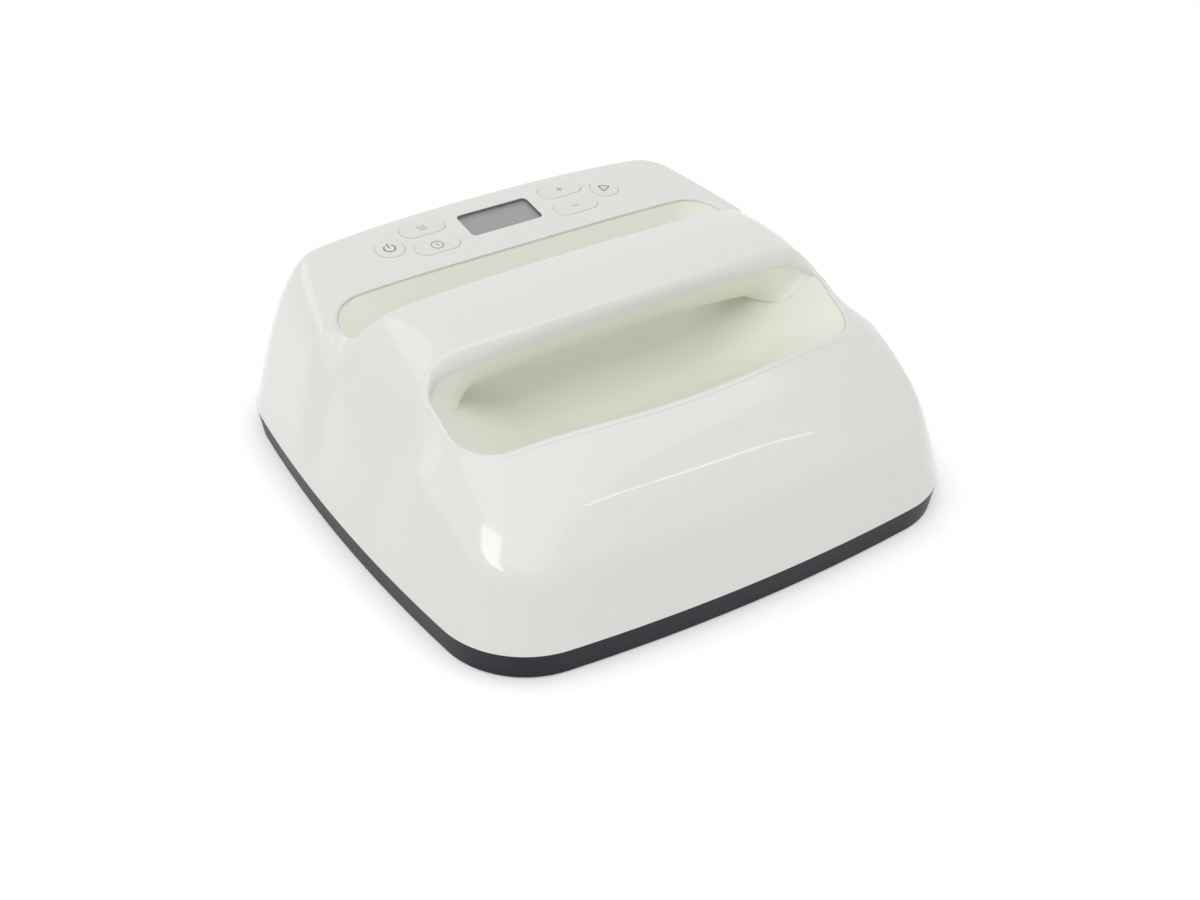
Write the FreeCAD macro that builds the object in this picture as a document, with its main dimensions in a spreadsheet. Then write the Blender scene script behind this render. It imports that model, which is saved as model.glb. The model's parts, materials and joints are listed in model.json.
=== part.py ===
import FreeCAD, Part
import math
import os
import re
import Sketcher
from FreeCAD import Placement, Rotation, Vector

# Handheld heat press: a moulded dome on a square heated plate, carried by a bar across a hand well.
# Frame: millimetres, +Z up, the front slope faces -Y and the control panel +Y,
# origin under the middle of the plate, which rests on z = 0.

SIZES = [
    # body outline: a square with bowed sides and round corners
    ("halfWidth", 125, "middle of one side to the centre"),
    ("sideBow", 9.8, "how far a side bows out beyond a straight square"),
    ("cornerRadius", 40, "round corner of the outline"),
    ("seamHeight", 12.8, "joint between the dome and the lower housing"),
    # dome
    ("crownHeight", 96, "top of the handle bar"),
    ("crownAhead", 3, "how far ahead of the centre the crown lies"),
    ("crownRadius", 113, "radius of the dome from front to back"),
    ("sideFall", 19.9, "how far its front has fallen 100 mm out to the side"),
    ("fallTwist", 0.486, "more of that fall for each 100 mm to the rear"),
    ("barFall", 2.5, "how far the bar has fallen 100 mm out to the side"),
    ("barReach", 92, "where the bar's top turns down, out to the side"),
    ("barTurn", 4, "length over which it turns"),
    ("barSlope", 1.6, "slope beyond the turn"),
    ("frontFar", 55, "where the front ends and the bar's shape begins to blend in"),
    ("frontNear", 28, "where the bar's shape is reached, ahead of the centre"),
    ("panelBack", 77, "middle of the control panel behind the centre"),
    ("panelHeight", 83.9, "height of the control panel at its middle"),
    ("panelSlope", 0.12, "rise of the panel towards the rear"),
    ("panelFall", 2.3, "how far the panel has fallen 100 mm out to the side"),
    ("blendFront", 20, "where the dome starts to turn into the panel"),
    ("blendBack", 42, "where the panel is reached"),
    ("shoulderFront", 13.5, "width of the rounded shoulder at the front"),
    ("shoulderSide", 12, "width of the shoulder at the sides"),
    ("shoulderRear", 38, "width of the shoulder at the rear"),
    ("wall", 2.6, "wall of the dome"),
    # hand openings
    ("wellHalf", 96.5, "half the width of both openings"),
    ("wellFront", 74, "front edge of the front opening, ahead of the centre"),
    ("wellBow", 9, "how far that edge bows forward"),
    ("barFront", 26, "front face of the bar, ahead of the centre"),
    ("barBack", 20.5, "rear face of the bar, behind the centre"),
    ("wellBack", 55, "rear edge of the rear opening"),
    ("nearCorner", 20, "corner radius at the front edge"),
    ("farCorner", 10, "corner radius beside the bar and at the rear"),
    ("lipDepth", 7, "depth of the rolled lip round the bar"),
    ("lipThin", 3.4, "its depth away from the bar"),
    ("lipFront", 44, "where it has become thin, ahead of the centre"),
    ("lipWall", 2.6, "thickness of the lip"),
    # hand well, the bowl under both openings
    ("floorHeight", 46, "floor of the bowl"),
    ("bowlCentre", 10, "middle of the bowl ahead of the centre"),
    ("bowlReach", 0.62, "share of the way in at which the floor is flat"),
    ("bowlWall", 2.2, "thickness of the bowl's floor"),
    ("bowlSide", 1.2, "how far the bowl's outside stands out sideways"),
    # handle grip
    ("gripBottom", 70, "underside of the bar"),
    ("gripCorner", 20, "rounding of the grip's lower edges"),
    ("gripArch", 630, "radius of the grip along its length"),
    ("gripWall", 4, "wall of the grip"),
    ("gripTall", 40, "side of the grip's blank, cut off below the bar"),
    ("gripScrewLength", 12, "shank of the grip screws"),
    ("gripHollow", 62, "half the length of the hollow in the grip"),
    ("gripScrewOut", 45, "grip screws to the middle"),
    ("gripBossRadius", 4.5, "bosses of the bar that the grip is screwed to"),
    # lower housing
    ("ringBottom", 0.8, "underside of the housing above the plate's face"),
    ("ringDraft", 1.8, "how far the housing draws in to its underside"),
    ("ringWidth", 9.5, "width of the housing beside the plate"),
    ("ledgeWidth", 17, "width of the ledge over the plate's edge"),
    ("ledgeBottom", 10.5, "underside of the ledge"),
    ("ledgeTop", 17, "top of the ledge"),
    # heated plate and what lies on it
    ("plateInset", 10.7, "edge of the plate inside the outline"),
    ("plateThick", 8, "plate"),
    ("tubeRadius", 3.2, "tubular heater"),
    ("tubeBend", 9, "bends of the heater"),
    ("outerLoop", 88, "half the size of the outer heater loop"),
    ("innerLoop", 48, "half the size of the inner heater loop"),
    ("terminalTop", 26, "top of the heater's ends"),
    ("blanketThick", 5.4, "fibre blanket"),
    ("blanketInset", 20, "edge of the blanket inside the outline"),
    ("shieldThick", 1.2, "sheet-metal lid"),
    ("shieldGap", 0.5, "lid's edge inside the ledge's outer edge"),
    ("spacerRadius", 5, "ceramic spacers"),
    ("spacerOut", 68, "spacers to the centre line"),
    ("plateScrewDepth", 5, "plate screws in the plate"),
    ("sensorLength", 12, "temperature sensor and fuse clip"),
    ("sensorWidth", 6, "sensor"),
    ("sensorThick", 2.8, "sensor"),
    # screws
    ("plateScrew", 2, "radius of the plate screws"),
    ("smallScrew", 1.5, "radius of the other screws"),
    ("headGrow", 1.4, "head radius over screw radius"),
    ("headThick", 2, "screw heads"),
    ("screwGap", 0.05, "screw in its pilot hole"),
    ("passGap", 0.2, "screw in a hole that it passes through"),
    ("rimScrewInset", 5.6, "housing screws inside the outline"),
    ("rimScrewSink", 5, "depth of their counterbores"),
    ("rimBossRadius", 3.6, "the dome's screw bosses"),
    ("rimBossTop", 18.5, "top of those bosses"),
    ("shieldScrewInset", 13, "lid screws inside the outline"),
    # power electronics
    ("boardLength", 90, "power board"),
    ("boardWidth", 56, "power board"),
    ("boardThick", 1.6, "both boards"),
    ("pillarHeight", 5.8, "pillars under the power board"),
    ("pillarRadius", 3, "those pillars"),
    ("boardAhead", 35, "middle of the power board ahead of the centre"),
    ("boardScrewIn", 4, "board screws inside the edges of both boards"),
    ("boardScrewLength", 6.5, "board screws in the dome's bosses"),
    ("terminalLength", 52, "terminal block"),
    ("terminalDeep", 10, "terminal block"),
    ("terminalTall", 10, "terminal block"),
    ("transformerSize", 24, "transformer"),
    ("transformerTall", 14, "transformer"),
    ("relayLength", 28, "relay"),
    ("relayWidth", 13, "relay"),
    ("relayTall", 13, "relay"),
    ("capacitorRadius", 5, "capacitor"),
    ("capacitorTall", 12, "capacitor"),
    ("leadRadius", 1.2, "heater leads"),
    ("leadBend", 4, "their bends"),
    ("leadPitch", 8, "outer heater ends beside the inner ones"),
    ("terminalOut", 12, "inner heater ends to the centre line"),
    # control panel, measured along it and square to it
    ("panelBoardLength", 136, "control board"),
    ("panelBoardWidth", 32, "control board"),
    ("panelBoardDrop", 12, "top of the control board below the panel"),
    ("windowLength", 36.5, "display opening"),
    ("windowWidth", 17.3, "display opening"),
    ("windowCorner", 2.5, "its corners"),
    ("windowShift", 0.5, "its middle behind the panel's middle"),
    ("lensMargin", 2.4, "display lens beyond its opening"),
    ("lensThick", 1.6, "display lens"),
    ("lensRecess", 1.0, "face of the lens below the panel"),
    ("roundOut", 55.9, "power and start buttons to the centre line"),
    ("roundRadius", 6.6, "power and start buttons"),
    ("pillOut", 35.9, "pill buttons to the centre line"),
    ("pillLength", 21.6, "pill buttons"),
    ("pillWidth", 10.6, "pill buttons"),
    ("pillPitch", 14.4, "between the two rows of pills"),
    ("pillShift", 0.3, "middle of the rows behind the panel's middle"),
    ("buttonGap", 0.3, "button in its hole, and its flange below the panel"),
    ("buttonProud", 0.3, "button top above the panel"),
    ("buttonTravel", 0.8, "how far a button goes down"),
    ("stopGap", 0.4, "stem to switch at full travel"),
    ("flangeGrow", 1.1, "button flange beyond its hole"),
    ("flangeThick", 1.2, "button flange"),
    ("stemRadius", 2, "button stem"),
    ("switchSize", 6, "switch body"),
    ("switchHeight", 3.5, "switch body"),
    ("plungerRadius", 1.7, "switch plunger"),
    ("plungerHeight", 1.5, "switch plunger"),
    ("beeperRadius", 6, "beeper"),
    ("beeperTall", 5, "beeper"),
    # cord inlet
    ("glandOut", 80, "inlet to the right of the centre"),
    ("glandHeight", 34, "inlet above the plate's face"),
    ("glandRadius", 6, "its barrel"),
    ("glandBore", 3.6, "hole for the mains lead"),
    ("glandFlange", 8.5, "its outer flange and inner nut"),
    ("glandLength", 12, "its barrel from the flange inwards"),
    ("glandSeat", 0.6, "its flat flange off the curved wall"),
    ("nutThick", 7, "its inner nut"),
    ("seatGap", 0.2, "between pieces that rest on a curved wall"),
]

doc = FreeCAD.newDocument("handheld_heat_press")
sheet = doc.addObject("Spreadsheet::Sheet", "Sizes")
for row, (alias, value, meaning) in enumerate(SIZES, start=1):
    sheet.set("A%d" % row, alias)
    sheet.set("B%d" % row, str(value))
    sheet.set("C%d" % row, meaning)
    sheet.setAlias("B%d" % row, alias)
doc.recompute()


class Values:
    """The sheet's numbers under their own names."""


v = Values()
for alias, value, meaning in SIZES:
    setattr(v, alias, float(sheet.get(alias)))

NODES = {}


def bind(thing, **formulas):
    """Ties properties to the sheet: each lower-case word of a formula is one of its names."""
    for prop, formula in formulas.items():
        thing.setExpression(prop, re.sub(r"\b([a-z]\w+)\b(?!\()", r"Sizes.\1", formula))


def keep(name, thing):
    """Names an object as a piece of the press."""
    thing.Label = name
    NODES[name] = thing
    return thing


# ---------------------------------------------------------------- outline of the body

sideRadius = (v.halfWidth ** 2 + v.sideBow ** 2) / (2 * v.sideBow)
sideCentre = sideRadius - v.halfWidth
reach = (sideRadius - v.cornerRadius) ** 2
cornerCentre = (-sideCentre + math.sqrt(2 * reach - sideCentre ** 2)) / 2
cornerAngle = math.atan2(cornerCentre, cornerCentre + sideCentre)


def edgeDistance(x, y):
    """Distance inwards from the outline: to the side's arc, or in a corner to the corner's arc."""
    far, near = max(abs(x), abs(y)), min(abs(x), abs(y))
    angle = math.atan2(near - cornerCentre, far - cornerCentre)
    if far > cornerCentre and angle > cornerAngle:
        return v.cornerRadius - math.hypot(far - cornerCentre, near - cornerCentre)
    return sideRadius - math.hypot(far + sideCentre, near)


def outlinePoints(inset, sideSteps=20, cornerSteps=7):
    """The outline as points, from the middle of the front side round to it again."""
    def turned(x, y, quarter):
        c, s = [(1, 0), (0, 1), (-1, 0), (0, -1)][quarter]
        return (c * x - s * y, s * x + c * y)

    points = []
    for quarter in range(4):
        for k in range(sideSteps):
            a = cornerAngle * (2 * k / sideSteps - 1)
            r = sideRadius - inset
            points.append(turned(r * math.cos(a) - sideCentre, r * math.sin(a), quarter))
        for k in range(cornerSteps):
            a = cornerAngle + (math.pi / 2 - 2 * cornerAngle) * k / cornerSteps
            r = v.cornerRadius - inset
            corner = (cornerCentre + r * math.cos(a), cornerCentre + r * math.sin(a))
            points.append(turned(corner[0], corner[1], quarter))
    start = 3 * (sideSteps + cornerSteps) + sideSteps // 2
    return points[start:] + points[:start]


def rimSpots(inset):
    """Four side middles and four corners, a fixed distance inside the outline."""
    side = v.halfWidth - inset
    corner = cornerCentre + (v.cornerRadius - inset) / math.sqrt(2)
    sides = [(side, 0), (0, side), (-side, 0), (0, -side)]
    return sides + [(sx * corner, sy * corner) for sx in (1, -1) for sy in (1, -1)]


# ---------------------------------------------------------------- surfaces of the dome and bowl

def smoothStep(t):
    t = min(max(t, 0), 1)
    return t * t * (3 - 2 * t)


def panelShare(y):
    return smoothStep((y - v.blendFront) / (v.blendBack - v.blendFront))


def crown(x, y):
    """Top of the dome: an arc from front to back. The front falls with the fourth power sideways, the
    bar is nearly level and turns down at its ends, and behind it lies the sloping panel."""
    ahead = y + v.crownAhead
    front = v.sideFall * (x / 100) ** 4 * max(1 + v.fallTwist * ahead / 100, 0)
    turn = math.log(1 + math.exp((abs(x) - v.barReach) / v.barTurn))
    bar = v.barFall * (x / 100) ** 2 + v.barSlope * v.barTurn * turn
    near = smoothStep((y + v.frontFar) / (v.frontFar - v.frontNear))
    fall = front * (1 - near) + bar * near
    dome = v.crownHeight - ahead ** 2 / (2 * v.crownRadius) - fall
    panel = v.panelHeight + v.panelSlope * (y - v.panelBack) - v.panelFall * (x / 100) ** 4
    share = panelShare(y)
    return dome * (1 - share) + panel * share


def lipDrop(y):
    """The lip is deep at the bar, thin at the panel and round the front of the well."""
    deep = smoothStep((y + v.lipFront) / (v.lipFront - v.barFront)) * (1 - panelShare(y))
    return v.lipThin + (v.lipDepth - v.lipThin) * deep


def domeHeight(x, y, inset, drop):
    """The crown rounds down to the seam over the shoulder's width, as a parabola."""
    share = min(abs(y) / v.halfWidth, 1) ** 1.2
    ends = v.shoulderFront if y < 0 else v.shoulderRear
    width = v.shoulderSide + (ends - v.shoulderSide) * share
    left = 1 - min(max(edgeDistance(x, y) - inset, 0) / width, 1)
    return v.seamHeight + (crown(x, y) - drop - v.seamHeight) * (1 - left ** 2)


def softened(row):
    """Poles of a uniform cubic spline that passes closely by the points of a row."""
    inner = [p - (before - p * 2 + after) * (1 / 6) for before, p, after in zip(row, row[1:], row[2:])]
    return row[:1] + inner + row[-1:]


def ringSolid(name, ringAt, spans):
    """A closed solid through rings: ringAt gives the ring of points at a share of the way from the
    first, flat ring to the last, flat one, and both are capped."""
    shares = [0, 1 / 3] + list(range(1, spans)) + [spans - 1 / 3, spans]
    rings = [[Vector(*p) for p in ringAt(share / spans)] for share in shares]
    rings = [softened(ring[-1:] + ring + ring[:1])[1:-1] for ring in rings]
    columns = [softened(list(column[2:-2])) for column in zip(*rings)]
    rings[2:-2] = [list(ring) for ring in zip(*columns)]
    around = len(rings[0])
    surface = Part.BSplineSurface()
    surface.buildFromPolesMultsKnots(rings, [4] + [1] * (spans - 1) + [4], [1] * (around + 1),
                                     list(range(spans + 1)), list(range(around + 1)),
                                     False, True, 3, 3)
    side = surface.toShape()
    caps = [Part.Face(Part.Wire([edge])) for edge in side.Edges if edge.isClosed()]
    shell = Part.makeCompound([side] + caps)
    shell.sewShape()
    feature = doc.addObject("Part::Feature", name)
    feature.Shape = Part.makeSolid(shell)
    return feature


def domeSolid(name, inset, drop):
    """Rings scaled in from the outline towards a point of the front opening, where they end flat."""
    poleY = -(v.wellFront + v.barFront) / 2
    capHeight = crown(0, poleY) - drop(poleY)
    base = outlinePoints(inset)

    def ringAt(share):
        inward = 0.95 * share ** 1.8
        ring = [(x * (1 - inward), poleY + (y - poleY) * (1 - inward)) for x, y in base]
        if share == 1:
            return [(x, y, capHeight) for x, y in ring]
        return [(x, y, domeHeight(x, y, inset, drop(y)) if share else v.seamHeight) for x, y in ring]

    return ringSolid(name, ringAt, 26)


def wellOutline(grow, cornerSteps=6):
    """Plan of the bowl: a bowed front edge, straight ends and rear, four round corners."""
    half, back = v.wellHalf + grow, v.wellBack + grow
    front, bow = v.wellFront + grow, v.wellBow
    bowRadius = (v.wellHalf ** 2 + bow ** 2) / (2 * bow) + grow
    centreY = bowRadius - front
    near, far = v.nearCorner + grow, v.farCorner + grow
    nearY = centreY - math.sqrt((bowRadius - near) ** 2 - (half - near) ** 2)
    tilt = math.atan2(half - near, centreY - nearY)
    right = [(bowRadius * math.sin(a), centreY - bowRadius * math.cos(a))
             for a in [tilt * k / 12 for k in range(12)]]
    for k in range(cornerSteps):
        a = tilt + (math.pi / 2 - tilt) * k / cornerSteps
        right.append((half - near + near * math.sin(a), nearY - near * math.cos(a)))
    rise = back - far - nearY
    right += [(half, nearY + rise * k / 12) for k in range(12)]
    for k in range(cornerSteps):
        a = math.pi / 2 * k / cornerSteps
        right.append((half - far + far * math.cos(a), back - far + far * math.sin(a)))
    right += [((half - far) * (1 - k / 10), back) for k in range(10)]
    return right + [(0, back)] + [(-x, y) for x, y in reversed(right[1:])]


def bowlSolid(name, grow, drop):
    """The space over the bowl: from a flat floor the wall rises with the power 1.5 of the way out,
    meets the lip at the outline and goes on straight to a flat top above the dome."""
    centreY = -v.bowlCentre
    top = v.crownHeight + 12
    floor = v.floorHeight - drop
    pairs = list(zip(wellOutline(grow), wellOutline(0)))

    def ringAt(share):
        ring = []
        for (bx, by), (rimX, rimY) in pairs:
            rise = crown(rimX, rimY) - lipDrop(rimY) - v.floorHeight
            slope = 1.5 * rise / v.bowlReach
            if share < 0.2:
                inward, height = 0.94 - (0.94 - v.bowlReach) * share / 0.2, floor
            elif share < 0.8:
                inward = v.bowlReach * (0.8 - share) / 0.6
                height = floor + rise * max(1 - inward / v.bowlReach, 0) ** 1.5
            else:
                inward = -(top - floor - rise) / slope * (share - 0.8) / 0.2
                height = floor + rise - slope * inward
            ring.append((bx * (1 - inward), centreY + (by - centreY) * (1 - inward), height))
        return ring

    return ringSolid(name, ringAt, 20)


# ---------------------------------------------------------------- sketches and simple solids

def planeOf(body, role):
    return [f for f in body.Origin.OriginFeatures if f.Role == role][0]


def newSketch(body, name, role="XY_Plane", level=None):
    sketch = body.newObject("Sketcher::SketchObject", name)
    sketch.AttachmentSupport = [(planeOf(body, role), "")]
    sketch.MapMode = "FlatFace"
    if level:
        bind(sketch, **{"AttachmentOffset.Base.z": level})
    return sketch


def fix(sketch, *parts, formula):
    """Adds a dimension and ties it to the sheet."""
    index = sketch.addConstraint(Sketcher.Constraint(*parts))
    bind(sketch, **{"Constraints[%d]" % index: formula})


def outlineSketch(body, name, level, inset, insetFormula):
    """The bowed square, drawn in by an inset: all its arcs keep their centres."""
    sketch = newSketch(body, name, level=level)
    up = Vector(0, 0, 1)
    side, corner = sideRadius - inset, v.cornerRadius - inset
    for quarter in range(4):
        turn = quarter * math.pi / 2
        spin = Rotation(up, math.degrees(turn))
        middle = spin.multVec(Vector(-sideCentre, 0, 0))
        sketch.addGeometry(Part.ArcOfCircle(Part.Circle(middle, up, side),
                                            turn - cornerAngle, turn + cornerAngle))
        middle = spin.multVec(Vector(cornerCentre, cornerCentre, 0))
        sketch.addGeometry(Part.ArcOfCircle(Part.Circle(middle, up, corner),
                                            turn + cornerAngle, turn + math.pi / 2 - cornerAngle))
    for k in range(8):
        sketch.addConstraint(Sketcher.Constraint("Tangent", k, 2, (k + 1) % 8, 1))
    for k in range(0, 8, 2):
        sketch.addConstraint(Sketcher.Constraint("PointOnObject", k, 3, -1 if k % 4 == 0 else -2))
    for k in (2, 4, 6):
        sketch.addConstraint(Sketcher.Constraint("Equal", 0, k))
        sketch.addConstraint(Sketcher.Constraint("Equal", 1, k + 1))
    radius = "(halfWidth^2 + sideBow^2) / (2 * sideBow)"
    fix(sketch, "Radius", 0, side, formula="%s - (%s)" % (radius, insetFormula))
    fix(sketch, "Radius", 1, corner, formula="cornerRadius - (%s)" % insetFormula)
    ends = [("DistanceX", 0, 3, -1, 1), ("DistanceY", 2, 3, -1, 1),
            ("DistanceX", -1, 1, 4, 3), ("DistanceY", -1, 1, 6, 3)]
    for kind in ends:
        fix(sketch, *kind, sideCentre, formula="%s - halfWidth" % radius)
    return sketch


def outlinePad(name, level, height, inset, insetFormula):
    body = doc.addObject("PartDesign::Body", name)
    pad = body.newObject("PartDesign::Pad", name + "_pad")
    pad.Profile = outlineSketch(body, name + "_sketch", level, inset, insetFormula)
    bind(pad, Length=height)
    return body


def box(name, length, width, height, place):
    thing = doc.addObject("Part::Box", name)
    bind(thing, Length=length, Width=width, Height=height)
    doc.recompute()
    half = Vector(-thing.Length.Value / 2, -thing.Width.Value / 2, 0)
    thing.Placement = place * Placement(half, Rotation())
    return thing


def cylinder(name, radius, height, place):
    thing = doc.addObject("Part::Cylinder", name)
    bind(thing, Radius=radius, Height=height)
    thing.Placement = place
    return thing


def at(x, y, z):
    return Placement(Vector(x, y, z), Rotation())


def spread(spots, z):
    """Places at a list of spots, all at one height."""
    return [at(x, y, z) for x, y in spots]


def flipped(places):
    """The same places, pointing down."""
    return [place * Placement(Vector(), Rotation(Vector(1, 0, 0), 180)) for place in places]


def gather(name, members):
    group = doc.addObject("Part::Compound", name)
    group.Links = members
    return group


def cylinders(name, radius, height, places):
    """A group of cylinders, one at each place."""
    return gather(name, [cylinder("%s_%d" % (name, k), radius, height, place)
                         for k, place in enumerate(places, start=1)])


def join(name, things):
    joined = doc.addObject("Part::MultiFuse", name)
    joined.Shapes = things
    joined.Refine = True
    return joined


def cut(name, base, tool):
    result = doc.addObject("Part::Cut", name)
    result.Base = base
    result.Tool = tool
    return result


def cutAll(name, base, tools):
    for k, tool in enumerate(tools, start=1):
        base = cut(name if k == len(tools) else "%s_step_%d" % (name, k), base, tool)
    return base


def common(name, first, second):
    result = doc.addObject("Part::MultiCommon", name)
    result.Shapes = [first, second]
    return result


def screws(name, radius, length, places):
    """A group of pan-head screws: each place is the middle of the head's outer face."""
    members = []
    beyond = at(0, 0, v.headThick)
    for k, place in enumerate(places, start=1):
        head = cylinder("%s_head_%d" % (name, k), "%s + headGrow" % radius, "headThick", place)
        shank = cylinder("%s_shank_%d" % (name, k), radius, length, place * beyond)
        members.append(join("%s_%d" % (name, k), [head, shank]))
    return keep(name, gather(name, members))


def roundedPath(points, bend):
    """A wire of straight runs whose corners are arcs."""
    points = [Vector(*p) for p in points]
    edges = []
    start = points[0]
    for before, corner, after in zip(points, points[1:], points[2:]):
        a, b = (before - corner).normalize(), (after - corner).normalize()
        half = a.getAngle(b) / 2
        back = bend / math.tan(half)
        first, last = corner + a * back, corner + b * back
        middle = corner + (a + b).normalize() * (bend / math.sin(half) - bend)
        edges.append(Part.LineSegment(start, first).toShape())
        edges.append(Part.Arc(first, middle, last).toShape())
        start = last
    edges.append(Part.LineSegment(start, points[-1]).toShape())
    return Part.Wire(edges)


def tube(name, wire, radius):
    """A round bar swept along a wire."""
    spine = doc.addObject("Part::Feature", name + "_path")
    spine.Shape = wire
    ring = doc.addObject("Part::Circle", name + "_ring")
    bind(ring, Radius=radius)
    first = wire.Edges[0]
    ring.Placement = Placement(first.valueAt(first.FirstParameter),
                               Rotation(Vector(0, 0, 1), first.tangentAt(first.FirstParameter)))
    sweep = doc.addObject("Part::Sweep", name)
    sweep.Sections = [ring]
    sweep.Spine = (spine, [])
    sweep.Solid = True
    sweep.Frenet = False
    return sweep


# ---------------------------------------------------------------- control panel frame

panelTilt = Rotation(Vector(1, 0, 0), math.degrees(math.atan(v.panelSlope)))


def onPanel(x, along, square, tilt=Rotation()):
    """A place on the panel: across it, along its slope and square to it."""
    base = Placement(Vector(0, v.panelBack, v.panelHeight), panelTilt)
    return base * Placement(Vector(x, along, square), tilt)


def pillSketch(body, name, length, width, lengthFormula, widthFormula, level):
    """A slot: two straight sides and two half circles, centred on the body's origin."""
    sketch = newSketch(body, name, level=level)
    up, radius, reach = Vector(0, 0, 1), width / 2, (length - width) / 2
    sketch.addGeometry(Part.LineSegment(Vector(-reach, -radius, 0), Vector(reach, -radius, 0)))
    right = Part.Circle(Vector(reach, 0, 0), up, radius)
    sketch.addGeometry(Part.ArcOfCircle(right, -math.pi / 2, math.pi / 2))
    sketch.addGeometry(Part.LineSegment(Vector(reach, radius, 0), Vector(-reach, radius, 0)))
    left = Part.Circle(Vector(-reach, 0, 0), up, radius)
    sketch.addGeometry(Part.ArcOfCircle(left, math.pi / 2, 3 * math.pi / 2))
    for k in range(4):
        sketch.addConstraint(Sketcher.Constraint("Tangent", k, 2, (k + 1) % 4, 1))
    sketch.addConstraint(Sketcher.Constraint("Equal", 1, 3))
    sketch.addConstraint(Sketcher.Constraint("Symmetric", 1, 3, 3, 3, -1, 1))
    sketch.addConstraint(Sketcher.Constraint("PointOnObject", 1, 3, -1))
    fix(sketch, "Radius", 1, radius, formula="(%s) / 2" % widthFormula)
    fix(sketch, "DistanceX", 3, 3, 1, 3, 2 * reach,
        formula="(%s) - (%s)" % (lengthFormula, widthFormula))
    return sketch


def discSketch(body, name, radius, formula, level):
    sketch = newSketch(body, name, level=level)
    sketch.addGeometry(Part.Circle(Vector(), Vector(0, 0, 1), radius))
    sketch.addConstraint(Sketcher.Constraint("Coincident", 0, 3, -1, 1))
    fix(sketch, "Radius", 0, radius, formula=formula)
    return sketch


def padOn(body, name, profile, height):
    pad = body.newObject("PartDesign::Pad", name)
    pad.Profile = profile
    bind(pad, Length=height)
    return pad


def faceSketch(body, name, shape, grow, growFormula, level):
    """The outline of a button's face, grown all round."""
    if shape == "pill":
        return pillSketch(body, name, v.pillLength + 2 * grow, v.pillWidth + 2 * grow,
                          "pillLength + 2 * (%s)" % growFormula,
                          "pillWidth + 2 * (%s)" % growFormula, level)
    return discSketch(body, name, v.roundRadius + grow, "roundRadius + %s" % growFormula, level)


flangeTop = "-(wall + buttonGap)"
switchTop = "-(panelBoardDrop - switchHeight - plungerHeight)"


def makeButton(name, shape, place):
    """A cap in its hole, a flange under the panel and a stem over the switch."""
    body = doc.addObject("PartDesign::Body", name)
    cap = faceSketch(body, name + "_face", shape, 0, "0", flangeTop)
    padOn(body, name + "_cap", cap, "wall + buttonGap + buttonProud")
    grow = v.buttonGap + v.flangeGrow
    flange = faceSketch(body, name + "_edge", shape, grow, "(buttonGap + flangeGrow)",
                        "%s - flangeThick" % flangeTop)
    padOn(body, name + "_flange", flange, "flangeThick")
    stem = discSketch(body, name + "_foot", v.stemRadius, "stemRadius",
                      "%s + buttonTravel + stopGap" % switchTop)
    padOn(body, name + "_stem", stem, "%s - flangeThick - (%s) - buttonTravel - stopGap"
          % (flangeTop, switchTop))
    body.Placement = place
    return keep(name, body)


def makeButtonHole(name, shape, place):
    body = doc.addObject("PartDesign::Body", name)
    hole = faceSketch(body, name + "_sketch", shape, v.buttonGap, "buttonGap", "-3 * wall")
    padOn(body, name + "_pad", hole, "6 * wall")
    body.Placement = place
    return body


def sunk(x):
    """The panel falls a little towards its sides, and so do the buttons on it."""
    return -v.panelFall * (x / 100) ** 4


rows = {"back": v.pillShift + v.pillPitch / 2, "front": v.pillShift - v.pillPitch / 2}
BUTTONS = {
    "power_button": ("round", -v.roundOut, 0),
    "start_button": ("round", v.roundOut, 0),
    "temperature_button": ("pill", -v.pillOut, rows["back"]),
    "timer_button": ("pill", -v.pillOut, rows["front"]),
    "plus_button": ("pill", v.pillOut, rows["back"]),
    "minus_button": ("pill", v.pillOut, rows["front"]),
}
buttonHoles = []
for name, (shape, x, along) in BUTTONS.items():
    place = onPanel(x, along, sunk(x))
    makeButton(name, shape, place)
    buttonHoles.append(makeButtonHole(name + "_hole", shape, place))


# ---------------------------------------------------------------- openings of the dome

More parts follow.
